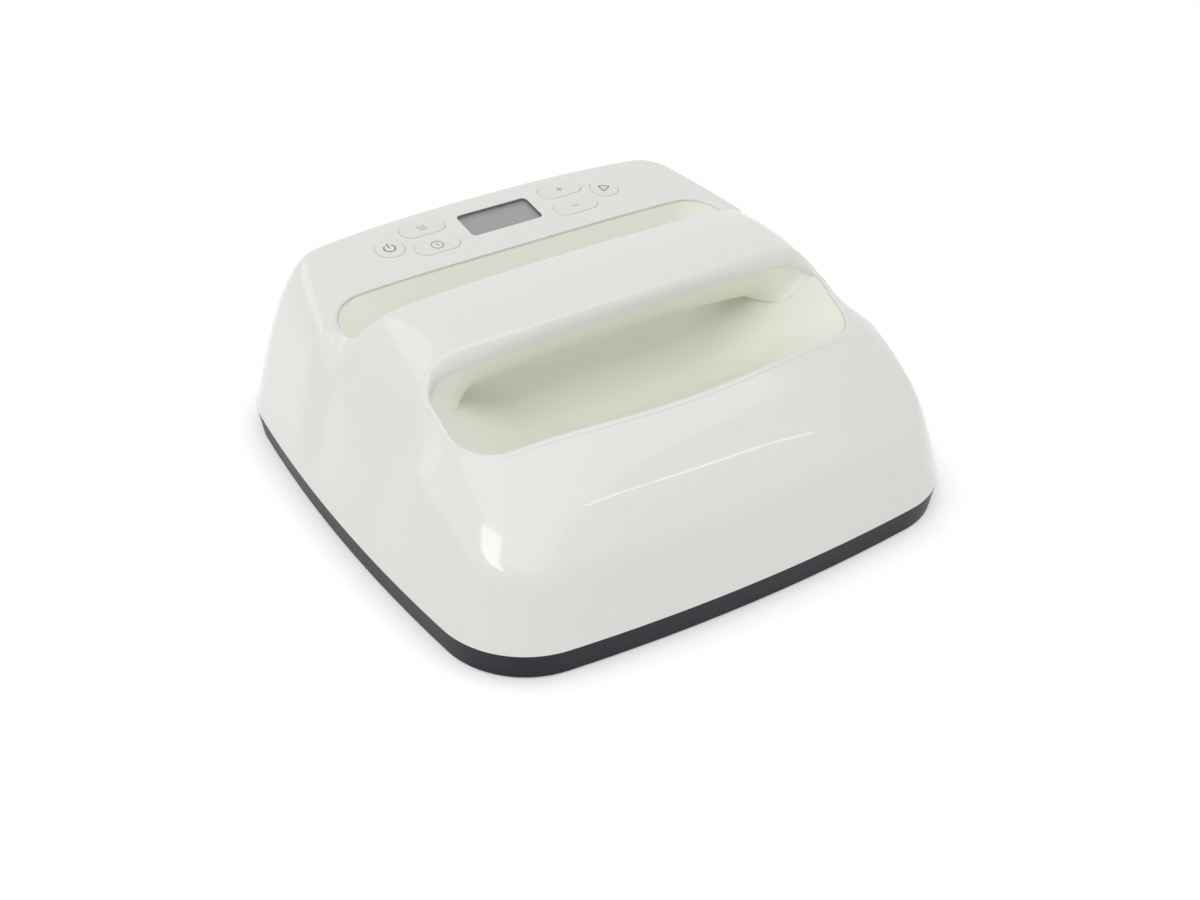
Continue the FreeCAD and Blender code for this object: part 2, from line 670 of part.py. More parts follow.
def openingPad(name, near, far, bow, grow, nearFormula, farFormula, growFormula, corners):
    """A tall prism with the plan of a hand opening, grown all round; its front edge may bow."""
    body = doc.addObject("PartDesign::Body", name)
    sketch = newSketch(body, name + "_sketch", level="floorHeight - 30")
    half = v.wellHalf + grow
    low, high = near - grow, far + grow
    corner = low + bow
    if bow:
        radius = (v.wellHalf ** 2 + bow ** 2) / (2 * bow) + grow
        low = near - grow
        corner = low + radius - math.sqrt(radius ** 2 - half ** 2)
        middle = Vector(0, low + radius, 0)
        turn = math.asin(half / radius)
        arc = Part.ArcOfCircle(Part.Circle(middle, Vector(0, 0, 1), radius),
                               1.5 * math.pi - turn, 1.5 * math.pi + turn)
        sketch.addGeometry(arc)
    else:
        sketch.addGeometry(Part.LineSegment(Vector(-half, low, 0), Vector(half, low, 0)))
    ring = [(half, corner), (half, high), (-half, high), (-half, corner)]
    for (x1, y1), (x2, y2) in zip(ring, ring[1:]):
        sketch.addGeometry(Part.LineSegment(Vector(x1, y1, 0), Vector(x2, y2, 0)))
    for k in range(4):
        sketch.addConstraint(Sketcher.Constraint("Coincident", k, 2, (k + 1) % 4, 1))
    sketch.addConstraint(Sketcher.Constraint("Vertical", 1))
    sketch.addConstraint(Sketcher.Constraint("Vertical", 3))
    sketch.addConstraint(Sketcher.Constraint("Symmetric", 1, 2, 3, 1, -2))
    fix(sketch, "DistanceX", 3, 1, 1, 2, 2 * half, formula="2 * (wellHalf + %s)" % growFormula)
    if high > 0:
        fix(sketch, "DistanceY", -1, 1, 1, 2, high, formula="%s + %s" % (farFormula, growFormula))
    else:
        fix(sketch, "DistanceY", 1, 2, -1, 1, -high, formula="-(%s) - %s" % (farFormula, growFormula))
    if bow:
        radiusFormula = "(wellHalf^2 + wellBow^2) / (2 * wellBow)"
        sketch.addConstraint(Sketcher.Constraint("PointOnObject", 0, 3, -2))
        fix(sketch, "Radius", 0, radius, formula="%s + %s" % (radiusFormula, growFormula))
        fix(sketch, "DistanceY", -1, 1, 0, 3, low + radius,
            formula="%s + %s" % (radiusFormula, nearFormula))
    else:
        sketch.addConstraint(Sketcher.Constraint("Horizontal", 0))
        fix(sketch, "DistanceY", -1, 1, 0, 1, low, formula="%s - %s" % (nearFormula, growFormula))
    pad = padOn(body, name + "_pad", sketch, "crownHeight")
    doc.recompute()
    for at_front, radiusName in ((True, corners[0]), (False, corners[1])):
        base = body.Tip
        edges = []
        for index, edge in enumerate(base.Shape.Edges, start=1):
            bounds = edge.BoundBox
            upright = bounds.ZLength > 1 and bounds.XLength < 1e-6 and bounds.YLength < 1e-6
            sharp = abs(abs(bounds.XMin) - half) < 1e-6
            in_front = bounds.YMin < (low + high) / 2
            if upright and sharp and in_front == at_front:
                edges.append("Edge%d" % index)
        fillet = body.newObject("PartDesign::Fillet", "%s_%s" % (name, "near" if at_front else "far"))
        fillet.Base = (base, edges)
        bind(fillet, Radius="%s + %s" % (radiusName, growFormula))
        doc.recompute()
    return body


def frontOpening(name, grow, growFormula):
    return openingPad(name, -v.wellFront, -v.barFront, v.wellBow, grow, "-wellFront", "-barFront",
                      growFormula, ("nearCorner", "farCorner"))


def rearOpening(name, grow, growFormula):
    return openingPad(name, v.barBack, v.wellBack, 0, grow, "barBack", "wellBack",
                      growFormula, ("farCorner", "farCorner"))


frontHole = frontOpening("front_opening", 0, "0")
rearHole = rearOpening("rear_opening", 0, "0")
frontBand = frontOpening("front_lip_band", v.lipWall, "lipWall")
rearBand = rearOpening("rear_lip_band", v.lipWall, "lipWall")
doc.recompute()

# ---------------------------------------------------------------- upper shell

outerDome = domeSolid("outer_dome", 0, lambda y: 0)
innerDome = domeSolid("inner_dome", v.wall, lambda y: v.wall)
lipDome = domeSolid("lip_dome", v.wall, lipDrop)
frontLip = cut("front_lip", frontBand, lipDome)
rearLip = cut("rear_lip", rearBand, lipDome)
cavity = cutAll("cavity", innerDome, [frontLip, rearLip])
skin = cutAll("dome_skin", outerDome, [cavity, frontHole, rearHole])

bossSeat = ("(gripBottom + gripWall + seatGap"
            " - (gripScrewOut - gripBossRadius)^2 / (2 * gripArch))")
bossBottom = (v.gripBottom + v.gripWall + v.seatGap
              - (v.gripScrewOut - v.gripBossRadius) ** 2 / (2 * v.gripArch))
barMiddle = (v.barBack - v.barFront) / 2
gripSpots = [(-v.gripScrewOut, barMiddle), (v.gripScrewOut, barMiddle)]
gripBosses = cylinders("grip_bosses", "gripBossRadius", "crownHeight - wall - %s" % bossSeat,
                       spread(gripSpots, bossBottom))
rimSeat = v.seamHeight + v.seatGap
rimBosses = cylinders("rim_bosses", "rimBossRadius", "rimBossTop - seamHeight - seatGap",
                      spread(rimSpots(v.rimScrewInset), rimSeat))
panelEnd, panelSide = v.panelBoardLength / 2 - v.boardScrewIn, v.panelBoardWidth / 2 - v.boardScrewIn
panelSpots = [(sx * panelEnd, sy * panelSide) for sx in (1, -1) for sy in (1, -1)]
panelPlaces = [onPanel(x, along, -v.panelBoardDrop) for x, along in panelSpots]
panelBosses = cylinders("panel_bosses", "pillarRadius", "panelBoardDrop - 0.8 * wall", panelPlaces)
bosses = gripBosses.Links + rimBosses.Links + panelBosses.Links
shellBlank = join("shell_blank", [skin] + bosses)


def roundedBox(name, length, width, height, corner, place):
    """A plate whose upright edges are rounded."""
    blank = box(name + "_blank", length, width, height, place)
    upright = place.Rotation.multVec(Vector(0, 0, 1))
    rounded = doc.addObject("Part::Fillet", name)
    rounded.Base = blank
    rounded.Edges = [(k, corner, corner) for k, edge in enumerate(blank.Shape.Edges, start=1)
                     if edge.tangentAt(edge.FirstParameter).cross(upright).Length < 1e-6]
    return rounded


def rearWall(x, z):
    """The point of the dome's rear wall at a height, and the wall's outward direction there."""
    low, high = v.wellBack, v.halfWidth
    for step in range(40):
        y = (low + high) / 2
        low, high = (y, high) if domeHeight(x, y, 0, 0) > z else (low, y)
    aside = (domeHeight(x + 0.1, y, 0, 0) - domeHeight(x - 0.1, y, 0, 0)) / 0.2
    slope = (domeHeight(x, y, 0, 0) - domeHeight(x, y - 0.1, 0, 0)) / 0.1
    return Placement(Vector(x, y, z), Rotation(Vector(0, 0, 1), Vector(-aside, -slope, 1)))


windowHole = roundedBox("window_hole", "windowLength", "windowWidth", "6 * wall", v.windowCorner,
                        onPanel(0, v.windowShift, -3 * v.wall))
glandPlace = rearWall(v.glandOut, v.glandHeight)
glandHole = cylinder("gland_hole", "glandRadius + seatGap", "8 * wall", glandPlace * at(0, 0, -4 * v.wall))
pilot = "smallScrew + screwGap"
rimPilots = cylinders("rim_pilots", pilot, "rimBossTop - seamHeight - headThick / 2",
                      spread(rimSpots(v.rimScrewInset), v.seamHeight))
gripPilots = cylinders("grip_pilots", pilot, "gripScrewLength", spread(gripSpots, bossBottom))
panelPilots = cylinders("panel_pilots", pilot, "boardScrewLength", panelPlaces)
holes = buttonHoles + [windowHole, glandHole, rimPilots, gripPilots, panelPilots]
keep("upper_shell", cutAll("upper_shell", shellBlank, holes))

# ---------------------------------------------------------------- hand well and grip

bowlSpace = bowlSolid("bowl_space", 0, 0)
bowlOuter = bowlSolid("bowl_outside", v.bowlSide, v.bowlWall)
keep("hand_well", common("hand_well", cut("bowl_wall", bowlOuter, bowlSpace), lipDome))


def gripSection(name, inset, halfLength, insetFormula, lengthFormula):
    """A U with round lower corners, turned about a far axis below so that it arches along X."""
    body = doc.addObject("PartDesign::Body", name)
    sketch = newSketch(body, name + "_sketch", role="YZ_Plane")
    ahead = Vector(0, 0, 1)
    front, back, corner = -v.barFront + inset, v.barBack - inset, v.gripCorner - inset
    bottom, top = v.gripArch + inset, v.gripArch + v.gripTall
    shapes = [
        Part.LineSegment(Vector(front + corner, bottom, 0), Vector(back - corner, bottom, 0)),
        Part.ArcOfCircle(Part.Circle(Vector(back - corner, bottom + corner, 0), ahead, corner),
                         -math.pi / 2, 0),
        Part.LineSegment(Vector(back, bottom + corner, 0), Vector(back, top, 0)),
        Part.LineSegment(Vector(back, top, 0), Vector(front, top, 0)),
        Part.LineSegment(Vector(front, top, 0), Vector(front, bottom + corner, 0)),
        Part.ArcOfCircle(Part.Circle(Vector(front + corner, bottom + corner, 0), ahead, corner),
                         math.pi, 1.5 * math.pi),
    ]
    sketch.addGeometry(shapes)
    for first, second, kind in ((0, 1, "Tangent"), (1, 2, "Tangent"), (2, 3, "Coincident"),
                                (3, 4, "Coincident"), (4, 5, "Tangent"), (5, 0, "Tangent")):
        sketch.addConstraint(Sketcher.Constraint(kind, first, 2, second, 1))
    sketch.addConstraint(Sketcher.Constraint("Horizontal", 0))
    sketch.addConstraint(Sketcher.Constraint("Vertical", 2))
    sketch.addConstraint(Sketcher.Constraint("Horizontal", 3))
    sketch.addConstraint(Sketcher.Constraint("Vertical", 4))
    sketch.addConstraint(Sketcher.Constraint("Equal", 1, 5))
    fix(sketch, "Radius", 1, corner, formula="gripCorner - %s" % insetFormula)
    fix(sketch, "DistanceX", -1, 1, 2, 2, back, formula="barBack - %s" % insetFormula)
    fix(sketch, "DistanceX", 3, 2, -1, 1, -front, formula="barFront - %s" % insetFormula)
    fix(sketch, "DistanceY", -1, 1, 0, 1, bottom, formula="gripArch + %s" % insetFormula)
    fix(sketch, "DistanceY", -1, 1, 2, 2, top, formula="gripArch + gripTall")
    turn = body.newObject("PartDesign::Revolution", name + "_turn")
    turn.Profile = sketch
    turn.ReferenceAxis = (planeOf(body, "Y_Axis"), [""])
    turn.Midplane = True
    bind(turn, Angle="2 * asin((%s) / gripArch)" % lengthFormula)
    body.Placement = at(0, 0, v.gripBottom - v.gripArch)
    return body


gripBlock = gripSection("grip_block", 0, v.wellHalf, "0", "wellHalf")
gripHollow = gripSection("grip_hollow", v.gripWall, v.gripHollow, "gripWall", "gripHollow")
gripForm = common("grip_form", common("grip_under_lip", gripBlock, lipDome), bowlSpace)
gripFace = v.gripBottom - v.gripScrewOut ** 2 / (2 * v.gripArch) + v.seatGap
gripSinks = cylinders("grip_sinks", "smallScrew + headGrow + passGap", "gripCorner",
                      flipped(spread(gripSpots, gripFace + v.headThick)))
gripPasses = cylinders("grip_passes", "smallScrew + passGap", "gripCorner", spread(gripSpots, gripFace))
keep("handle_grip", cutAll("handle_grip", gripForm, [gripHollow, gripSinks, gripPasses]))
screws("grip_screws", "smallScrew", "gripScrewLength", spread(gripSpots, gripFace))

# ---------------------------------------------------------------- lower housing

housing = doc.addObject("PartDesign::Body", "housing_body")
skirt = housing.newObject("PartDesign::AdditiveLoft", "housing_skirt")
skirt.Profile = outlineSketch(housing, "skirt_bottom", "ringBottom", v.ringDraft, "ringDraft")
skirt.Sections = [outlineSketch(housing, "skirt_top", "seamHeight", 0, "0")]
skirt.Ruled = True
neck = outlineSketch(housing, "neck_outline", "seamHeight", v.ringWidth, "ringWidth")
padOn(housing, "housing_neck", neck, "ledgeTop - seamHeight")
for name, level, inset, formula in (("housing_opening", "ledgeTop", v.ledgeWidth, "ledgeWidth"),
                                    ("plate_recess", "ledgeBottom", v.ringWidth, "ringWidth")):
    pocket = housing.newObject("PartDesign::Pocket", name)
    pocket.Profile = outlineSketch(housing, name + "_outline", level, inset, formula)
    bind(pocket, Length="%s - ringBottom" % level)
rimPlaces = spread(rimSpots(v.rimScrewInset), v.ringBottom)
rimSinks = cylinders("rim_sinks", "smallScrew + headGrow + passGap", "rimScrewSink", rimPlaces)
rimPasses = cylinders("rim_passes", "smallScrew + passGap", "seamHeight", rimPlaces)
lidPlaces = spread(rimSpots(v.shieldScrewInset), v.ledgeTop)
lidDepth = "ledgeTop - ledgeBottom - 1"
lidPilots = cylinders("lid_pilots", pilot, lidDepth, flipped(lidPlaces))
keep("lower_housing", cutAll("lower_housing", housing, [rimSinks, rimPasses, lidPilots]))
screws("housing_screws", "smallScrew", "rimBossTop - ringBottom - rimScrewSink - headThick",
       spread(rimSpots(v.rimScrewInset), v.ringBottom + v.rimScrewSink - v.headThick))

# ---------------------------------------------------------------- heated plate and its cover

spacerSpots = [(sx * v.spacerOut, sy * v.spacerOut) for sx in (1, -1) for sy in (1, 0, -1)]


def loopPath(size, out):
    """Round the plate at one height, both ends turned up at the rear."""
    z = v.plateThick
    return roundedPath([(out, size, v.terminalTop), (out, size, z), (size, size, z), (size, -size, z),
                        (-size, -size, z), (-size, size, z), (-out, size, z),
                        (-out, size, v.terminalTop)], v.tubeBend)


HEATERS = {"outer_heater": (v.outerLoop, v.terminalOut + v.leadPitch),
           "inner_heater": (v.innerLoop, v.terminalOut)}
grooves, heaterEnds = [], []
for name, (size, out) in HEATERS.items():
    path = loopPath(size, out)
    keep(name, tube(name, path, "tubeRadius"))
    grooves.append(tube(name + "_groove", path, "tubeRadius + seatGap / 2"))
    heaterEnds += [(out, size), (-out, size)]

plateBlank = outlinePad("plate_blank", None, "plateThick", v.plateInset, "plateInset")
plateScrewPlaces = flipped(spread(spacerSpots, v.ledgeTop + v.shieldThick + v.headThick))
platePilots = cylinders("plate_pilots", "plateScrew + screwGap", "plateScrewDepth + seatGap",
                        flipped(spread(spacerSpots, v.plateThick)))
keep("heat_plate", cutAll("heat_plate", plateBlank, grooves + [platePilots]))
screws("plate_screws", "plateScrew", "shieldThick + ledgeTop - plateThick + plateScrewDepth",
       plateScrewPlaces)

spacerPlaces = spread(spacerSpots, v.plateThick)
spacerBlanks = cylinders("spacer_blanks", "spacerRadius", "ledgeTop - plateThick", spacerPlaces)
spacerBores = cylinders("spacer_bores", "plateScrew + passGap", "ledgeTop", spacerPlaces)
keep("plate_spacers", cut("plate_spacers", spacerBlanks, spacerBores))

blanket = outlinePad("blanket_blank", "plateThick + tubeRadius + seatGap", "blanketThick",
                     v.blanketInset, "blanketInset")
blanketHoles = cylinders("blanket_holes", "spacerRadius + seatGap", "ledgeTop", spacerPlaces)
keep("plate_insulation", cutAll("plate_insulation", blanket, [blanketHoles] + grooves))

shield = outlinePad("shield_blank", "ledgeTop", "shieldThick", v.ringWidth + v.shieldGap,
                    "(ringWidth + shieldGap)")
endHoles = cylinders("end_holes", "tubeRadius + 2 * seatGap", "ledgeTop", spread(heaterEnds, v.plateThick))
shieldHoles = cylinders("shield_holes", "plateScrew + passGap", "ledgeTop", spacerPlaces)
lidPasses = cylinders("lid_passes", "smallScrew + passGap", "ledgeTop",
                      spread(rimSpots(v.shieldScrewInset), v.ledgeBottom))
keep("heat_shield", cutAll("heat_shield", shield, [shieldHoles, endHoles, lidPasses]))
lidTop = v.ledgeTop + v.shieldThick
screws("shield_screws", "smallScrew", "shieldThick + %s - seatGap" % lidDepth,
       flipped(spread(rimSpots(v.shieldScrewInset), lidTop + v.headThick)))

keep("temperature_sensor", box("temperature_sensor", "sensorLength", "sensorWidth", "sensorThick",
                               at(0, 0, v.plateThick)))
keep("thermal_fuse", box("thermal_fuse", "1.5 * sensorLength", "sensorWidth", "sensorThick",
                         at(2 * v.sensorLength, -2 * v.sensorLength, v.plateThick)))

# ---------------------------------------------------------------- power electronics

boardTop = lidTop + v.pillarHeight + v.boardThick
boardEnd, boardSide = v.boardLength / 2 - v.boardScrewIn, v.boardWidth / 2 - v.boardScrewIn
boardSpots = [(sx * boardEnd, sy * boardSide - v.boardAhead) for sx in (1, -1) for sy in (1, -1)]
boardScrewPlaces = flipped(spread(boardSpots, boardTop + v.headThick))
boardPilots = cylinders("board_pilots", pilot, "boardThick + pillarHeight",
                        flipped(spread(boardSpots, boardTop)))
pillarBlanks = cylinders("pillar_blanks", "pillarRadius", "pillarHeight", spread(boardSpots, lidTop))
keep("board_pillars", cut("board_pillars", pillarBlanks, boardPilots))
boardBlank = box("board_blank", "boardLength", "boardWidth", "boardThick",
                 at(0, -v.boardAhead, lidTop + v.pillarHeight))
keep("power_board", cut("power_board", boardBlank, boardPilots))
screws("board_screws", "smallScrew", "boardThick + pillarHeight - seatGap", boardScrewPlaces)

blockBack = -v.boardAhead + v.boardWidth / 2 - v.seatGap
PARTS = {
    "terminal_block": ("terminalLength", "terminalDeep", "terminalTall",
                       0, blockBack - v.terminalDeep / 2),
    "transformer": ("transformerSize", "transformerSize", "transformerTall",
                    -v.boardLength / 4, -v.boardAhead - v.boardWidth / 8),
    "relay": ("relayLength", "relayWidth", "relayTall",
              v.boardLength / 4, -v.boardAhead - v.boardWidth / 8),
}
for name, (length, width, height, x, y) in PARTS.items():
    keep(name, box(name, length, width, height, at(x, y, boardTop)))
keep("capacitor", cylinder("capacitor", "capacitorRadius", "capacitorTall",
                           at(0, -v.boardAhead - v.boardWidth / 4, boardTop)))

leads = []
leadZ = boardTop + v.terminalTall / 2
for k, (x, y) in enumerate(heaterEnds, start=1):
    route = roundedPath([(x, y, v.terminalTop), (x, y, leadZ), (x, blockBack, leadZ)], v.leadBend)
    leads.append(tube("heater_lead_%d" % k, route, "leadRadius"))
keep("heater_leads", gather("heater_leads", leads))

# ---------------------------------------------------------------- control panel

controlBlank = box("control_blank", "panelBoardLength", "panelBoardWidth", "boardThick",
                   onPanel(0, 0, -v.panelBoardDrop - v.boardThick))
underBoard = -v.panelBoardDrop - v.boardThick
controlPasses = cylinders("control_passes", "smallScrew + passGap", "boardThick",
                          [onPanel(x, along, underBoard) for x, along in panelSpots])
keep("control_board", cut("control_board", controlBlank, controlPasses))
screws("panel_screws", "smallScrew", "boardThick + boardScrewLength - seatGap",
       [onPanel(x, along, underBoard - v.headThick) for x, along in panelSpots])

switches = []
for name, (shape, x, along) in BUTTONS.items():
    base = onPanel(x, along, -v.panelBoardDrop)
    case = box(name + "_switch_case", "switchSize", "switchSize", "switchHeight", base)
    plunger = cylinder(name + "_switch_plunger", "plungerRadius", "plungerHeight",
                       base * at(0, 0, v.switchHeight))
    switches.append(join(name + "_switch", [case, plunger]))
keep("switches", gather("switches", switches))

lensDrop = v.wall + v.seatGap + v.lensThick
lensBack = roundedBox("lens_back", "windowLength + 2 * lensMargin", "windowWidth + 2 * lensMargin",
                      "lensThick", v.windowCorner, onPanel(0, v.windowShift, -lensDrop))
lensPane = roundedBox("lens_pane", "windowLength - 2 * seatGap", "windowWidth - 2 * seatGap",
                      "wall + seatGap + lensThick - lensRecess", v.windowCorner - v.seatGap,
                      onPanel(0, v.windowShift, -lensDrop))
keep("display_window", join("display_window", [lensBack, lensPane]))
keep("display_module", box("display_module", "windowLength + 2 * lensMargin",
                           "windowWidth + 2 * lensMargin",
                           "panelBoardDrop - wall - seatGap - lensThick",
                           onPanel(0, v.windowShift, -v.panelBoardDrop)))
keep("beeper", cylinder("beeper", "beeperRadius", "beeperTall",
                        flipped([onPanel(-v.pillOut, 0, underBoard)])[0]))

# ---------------------------------------------------------------- cord inlet

flange = cylinder("gland_flange", "glandFlange", "wall", glandPlace * at(0, 0, v.glandSeat))
nutPlace = glandPlace * at(0, 0, v.glandSeat - v.glandLength)
barrel = cylinder("gland_barrel", "glandRadius", "glandLength", nutPlace)
bore = cylinder("gland_bore", "glandBore", "2 * glandLength", glandPlace * at(0, 0, -1.5 * v.glandLength))
keep("cord_gland", cut("cord_gland", join("gland_blank", [flange, barrel]), bore))
nutBlank = cylinder("nut_blank", "glandFlange", "nutThick", nutPlace)
nutHole = cylinder("nut_hole", "glandRadius + screwGap", "glandLength", nutPlace)
keep("gland_nut", cut("gland_nut", nutBlank, nutHole))

# ---------------------------------------------------------------- check and write

doc.recompute()
failed = [thing.Name for thing in doc.Objects if {"Invalid", "Error"} & set(thing.State)]
if failed:
    raise RuntimeError("objects that did not build: %s" % ", ".join(failed))
os.makedirs("parts", exist_ok=True)
for name, thing in NODES.items():
    if thing.Shape.isNull() or not thing.Shape.isValid() or not thing.Shape.Solids:
        raise RuntimeError("%s has no valid solid" % name)
    thing.Shape.exportStep("parts/%s.step" % name)
    print("%-20s solids %2d  volume %9.0f mm3" % (name, len(thing.Shape.Solids), thing.Shape.Volume))
print(len(NODES), "pieces")
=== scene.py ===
import json
import math

import bmesh
import bpy
import numpy as np
from mathutils import Matrix, Vector


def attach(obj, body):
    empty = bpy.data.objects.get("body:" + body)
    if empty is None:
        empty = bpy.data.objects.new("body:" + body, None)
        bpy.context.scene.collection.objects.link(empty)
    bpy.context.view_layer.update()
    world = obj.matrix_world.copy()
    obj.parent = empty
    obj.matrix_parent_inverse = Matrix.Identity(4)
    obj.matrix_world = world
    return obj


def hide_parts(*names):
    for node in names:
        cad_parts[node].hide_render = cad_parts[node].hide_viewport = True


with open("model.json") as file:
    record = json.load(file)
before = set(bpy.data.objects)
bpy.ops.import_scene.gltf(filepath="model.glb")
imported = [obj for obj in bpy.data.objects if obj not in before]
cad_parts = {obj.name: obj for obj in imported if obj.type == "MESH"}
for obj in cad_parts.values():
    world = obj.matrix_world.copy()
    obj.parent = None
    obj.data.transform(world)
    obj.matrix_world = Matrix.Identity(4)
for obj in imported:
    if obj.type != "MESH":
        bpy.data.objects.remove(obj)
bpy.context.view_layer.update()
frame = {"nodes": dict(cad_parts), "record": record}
print("frame loaded:", len(frame["nodes"]), "solids")

mm = 0.001

# the dome's numbers in millimetres: a square with bowed sides, an arched crown and a sloping rear panel
dome = {
    "halfWidth": 125, "sideBow": 9.8, "cornerRadius": 40, "seamHeight": 12.8,
    "crownHeight": 96, "crownAhead": 3, "crownRadius": 113, "sideFall": 19.9, "fallTwist": 0.486,
    "barFall": 2.5, "barReach": 92, "barTurn": 4, "barSlope": 1.6, "frontFar": 55, "frontNear": 28,
    "panelBack": 77, "panelHeight": 83.9, "panelSlope": 0.12, "panelFall": 2.3,
    "blendFront": 20, "blendBack": 42,
    "shoulderFront": 13.5, "shoulderSide": 12, "shoulderRear": 38, "shoulderEase": 1.2,
    "lipDepth": 7, "lipThin": 3.4, "lipFront": 44, "barFront": 26,
}
sideRadius = (dome["halfWidth"] ** 2 + dome["sideBow"] ** 2) / (2 * dome["sideBow"])
sideCentre = sideRadius - dome["halfWidth"]
cornerReach = (sideRadius - dome["cornerRadius"]) ** 2
cornerCentre = (-sideCentre + math.sqrt(2 * cornerReach - sideCentre ** 2)) / 2
cornerAngle = math.atan2(cornerCentre, cornerCentre + sideCentre)


# 3 t squared less 2 t cubed: from 0 to 1, level at both ends
def smoothStep(t):
    t = np.clip(t, 0, 1)
    return t * t * (3 - 2 * t)


# distance in from the outline: the side's radius less the distance to the side's centre,
# and in a corner the corner's radius less the distance to the corner's centre
def edgeDistance(x, y):
    far, near = np.maximum(abs(x), abs(y)), np.minimum(abs(x), abs(y))
    angle = np.arctan2(near - cornerCentre, far - cornerCentre)
    corner = dome["cornerRadius"] - np.hypot(far - cornerCentre, near - cornerCentre)
    side = sideRadius - np.hypot(far + sideCentre, near)
    return np.where((far > cornerCentre) & (angle > cornerAngle), corner, side)


# the panel's share of the crown: a soft step just behind the bar
def panelShare(y):
    return smoothStep((y - dome["blendFront"]) / (dome["blendBack"] - dome["blendFront"]))


# height of the crown: an arc from front to back. The front falls with the fourth power of x, the bar is
# nearly level and turns down at its ends (slope times the soft step ln(1 + exp)), then the sloping panel
def crownAt(x, y):
    ahead = y + dome["crownAhead"]
    front = dome["sideFall"] * (x / 100) ** 4 * np.maximum(1 + dome["fallTwist"] * ahead / 100, 0)
    turn = np.log1p(np.exp((abs(x) - dome["barReach"]) / dome["barTurn"]))
    bar = dome["barFall"] * (x / 100) ** 2 + dome["barSlope"] * dome["barTurn"] * turn
    near = smoothStep((y + dome["frontFar"]) / (dome["frontFar"] - dome["frontNear"]))
    fall = front * (1 - near) + bar * near
    arc = dome["crownHeight"] - ahead ** 2 / (2 * dome["crownRadius"]) - fall
    panel = (dome["panelHeight"] + dome["panelSlope"] * (y - dome["panelBack"])
             - dome["panelFall"] * (x / 100) ** 4)
    share = panelShare(y)
    return arc * (1 - share) + panel * share


# the lip is deep at the bar, thin at the panel and round the front of the well
def lipDrop(y):
    near = (y + dome["lipFront"]) / (dome["lipFront"] - dome["barFront"])
    deep = smoothStep(near) * (1 - panelShare(y))
    return dome["lipThin"] + (dome["lipDepth"] - dome["lipThin"]) * deep


# height of the dome: seam + (crown - seam) times one less the square of what is left of the shoulder
def domeAt(x, y):
    share = np.minimum(abs(y) / dome["halfWidth"], 1) ** dome["shoulderEase"]
    ends = np.where(y < 0, dome["shoulderFront"], dome["shoulderRear"])
    width = dome["shoulderSide"] + (ends - dome["shoulderSide"]) * share
    left = 1 - np.clip(np.maximum(edgeDistance(x, y), 0) / width, 0, 1)
    return dome["seamHeight"] + (crownAt(x, y) - dome["seamHeight"]) * (1 - left ** 2)


# small tools for meshes

# faces between the rows and columns of a grid of points, counted from first; a row may be closed round
def gridFaces(rows, columns, closed, first=0):
    here = np.arange(rows * columns).reshape(rows, columns) + first
    beside = np.roll(here, -1, axis=1) if closed else here[:, 1:]
    here = here if closed else here[:, :-1]
    return np.stack([here[:-1], beside[:-1], beside[1:], here[1:]], axis=-1).reshape(-1, 4)


# blocks of points in millimetres and groups of faces over them become one object
def makeMesh(name, blocks, faces, smooth=True, sharpAngle=None):
    points = np.concatenate([np.asarray(block, float).reshape(-1, 3) for block in blocks]) * mm
    mesh = bpy.data.meshes.new(name)
    mesh.from_pydata(points.tolist(), [], [face for group in faces for face in group])
    mesh.validate()
    thing = bpy.data.objects.new(name, mesh)
    bpy.context.scene.collection.objects.link(thing)
    mergeAndTurn(thing)
    mesh.polygons.foreach_set("use_smooth", [smooth] * len(mesh.polygons))
    if sharpAngle:
        mesh.set_sharp_from_angle(angle=math.radians(sharpAngle))
    mesh.update()
    return thing


# doubles are merged, then the faces are turned to point out of the closed shape
def mergeAndTurn(thing, distance=2e-6):
    work = bmesh.new()
    work.from_mesh(thing.data)
    bmesh.ops.remove_doubles(work, verts=work.verts, dist=distance)
    bmesh.ops.recalc_face_normals(work, faces=work.faces)
    work.to_mesh(thing.data)
    work.free()


# rows of closed loops; the first and last row end in one point, their middle
def closedTube(rows):
    caps = [rows[:1].mean(axis=1, keepdims=True), rows[-1:].mean(axis=1, keepdims=True)]
    full = np.concatenate([np.repeat(caps[0], rows.shape[1], axis=1), rows,
                           np.repeat(caps[1], rows.shape[1], axis=1)])
    return full, gridFaces(full.shape[0], full.shape[1], True).tolist()


# takes the cutters out of a piece and removes them
def cutWith(thing, cutters, solver="EXACT", sharpAngle=32):
    for cutter in cutters:
        change = thing.modifiers.new("cut", "BOOLEAN")
        change.operation = "DIFFERENCE"
        change.solver = solver
        change.object = cutter
    bpy.context.view_layer.update()
    depsgraph = bpy.context.evaluated_depsgraph_get()
    done = bpy.data.meshes.new_from_object(thing.evaluated_get(depsgraph))
    thing.modifiers.clear()
    old = thing.data
    thing.data = done
    bpy.data.meshes.remove(old)
    for cutter in cutters:
        bpy.data.objects.remove(cutter)
    done.set_sharp_from_angle(angle=math.radians(sharpAngle))


# points in plan get their height: one for all, or one for each
def lifted(plan, height):
    height = np.broadcast_to(height, plan.shape[:-1])
    return np.concatenate([plan, height[..., None]], axis=-1)


# a finished piece rides on its body, has its finish and stands for the solids it replaces
def part(thing, body, material, replaced=()):
    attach(thing, body)
    if replaced:
        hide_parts(*replaced)
    thing.data.materials.clear()
    thing.data.materials.append(material)
    return thing


# materials

# a node material with its nodes, its links and its main shader
def newMaterial(name):
    material = bpy.data.materials.new(name)
    material.use_nodes = True
    nodes, links = material.node_tree.nodes, material.node_tree.links
    return material, nodes, links, nodes["Principled BSDF"]


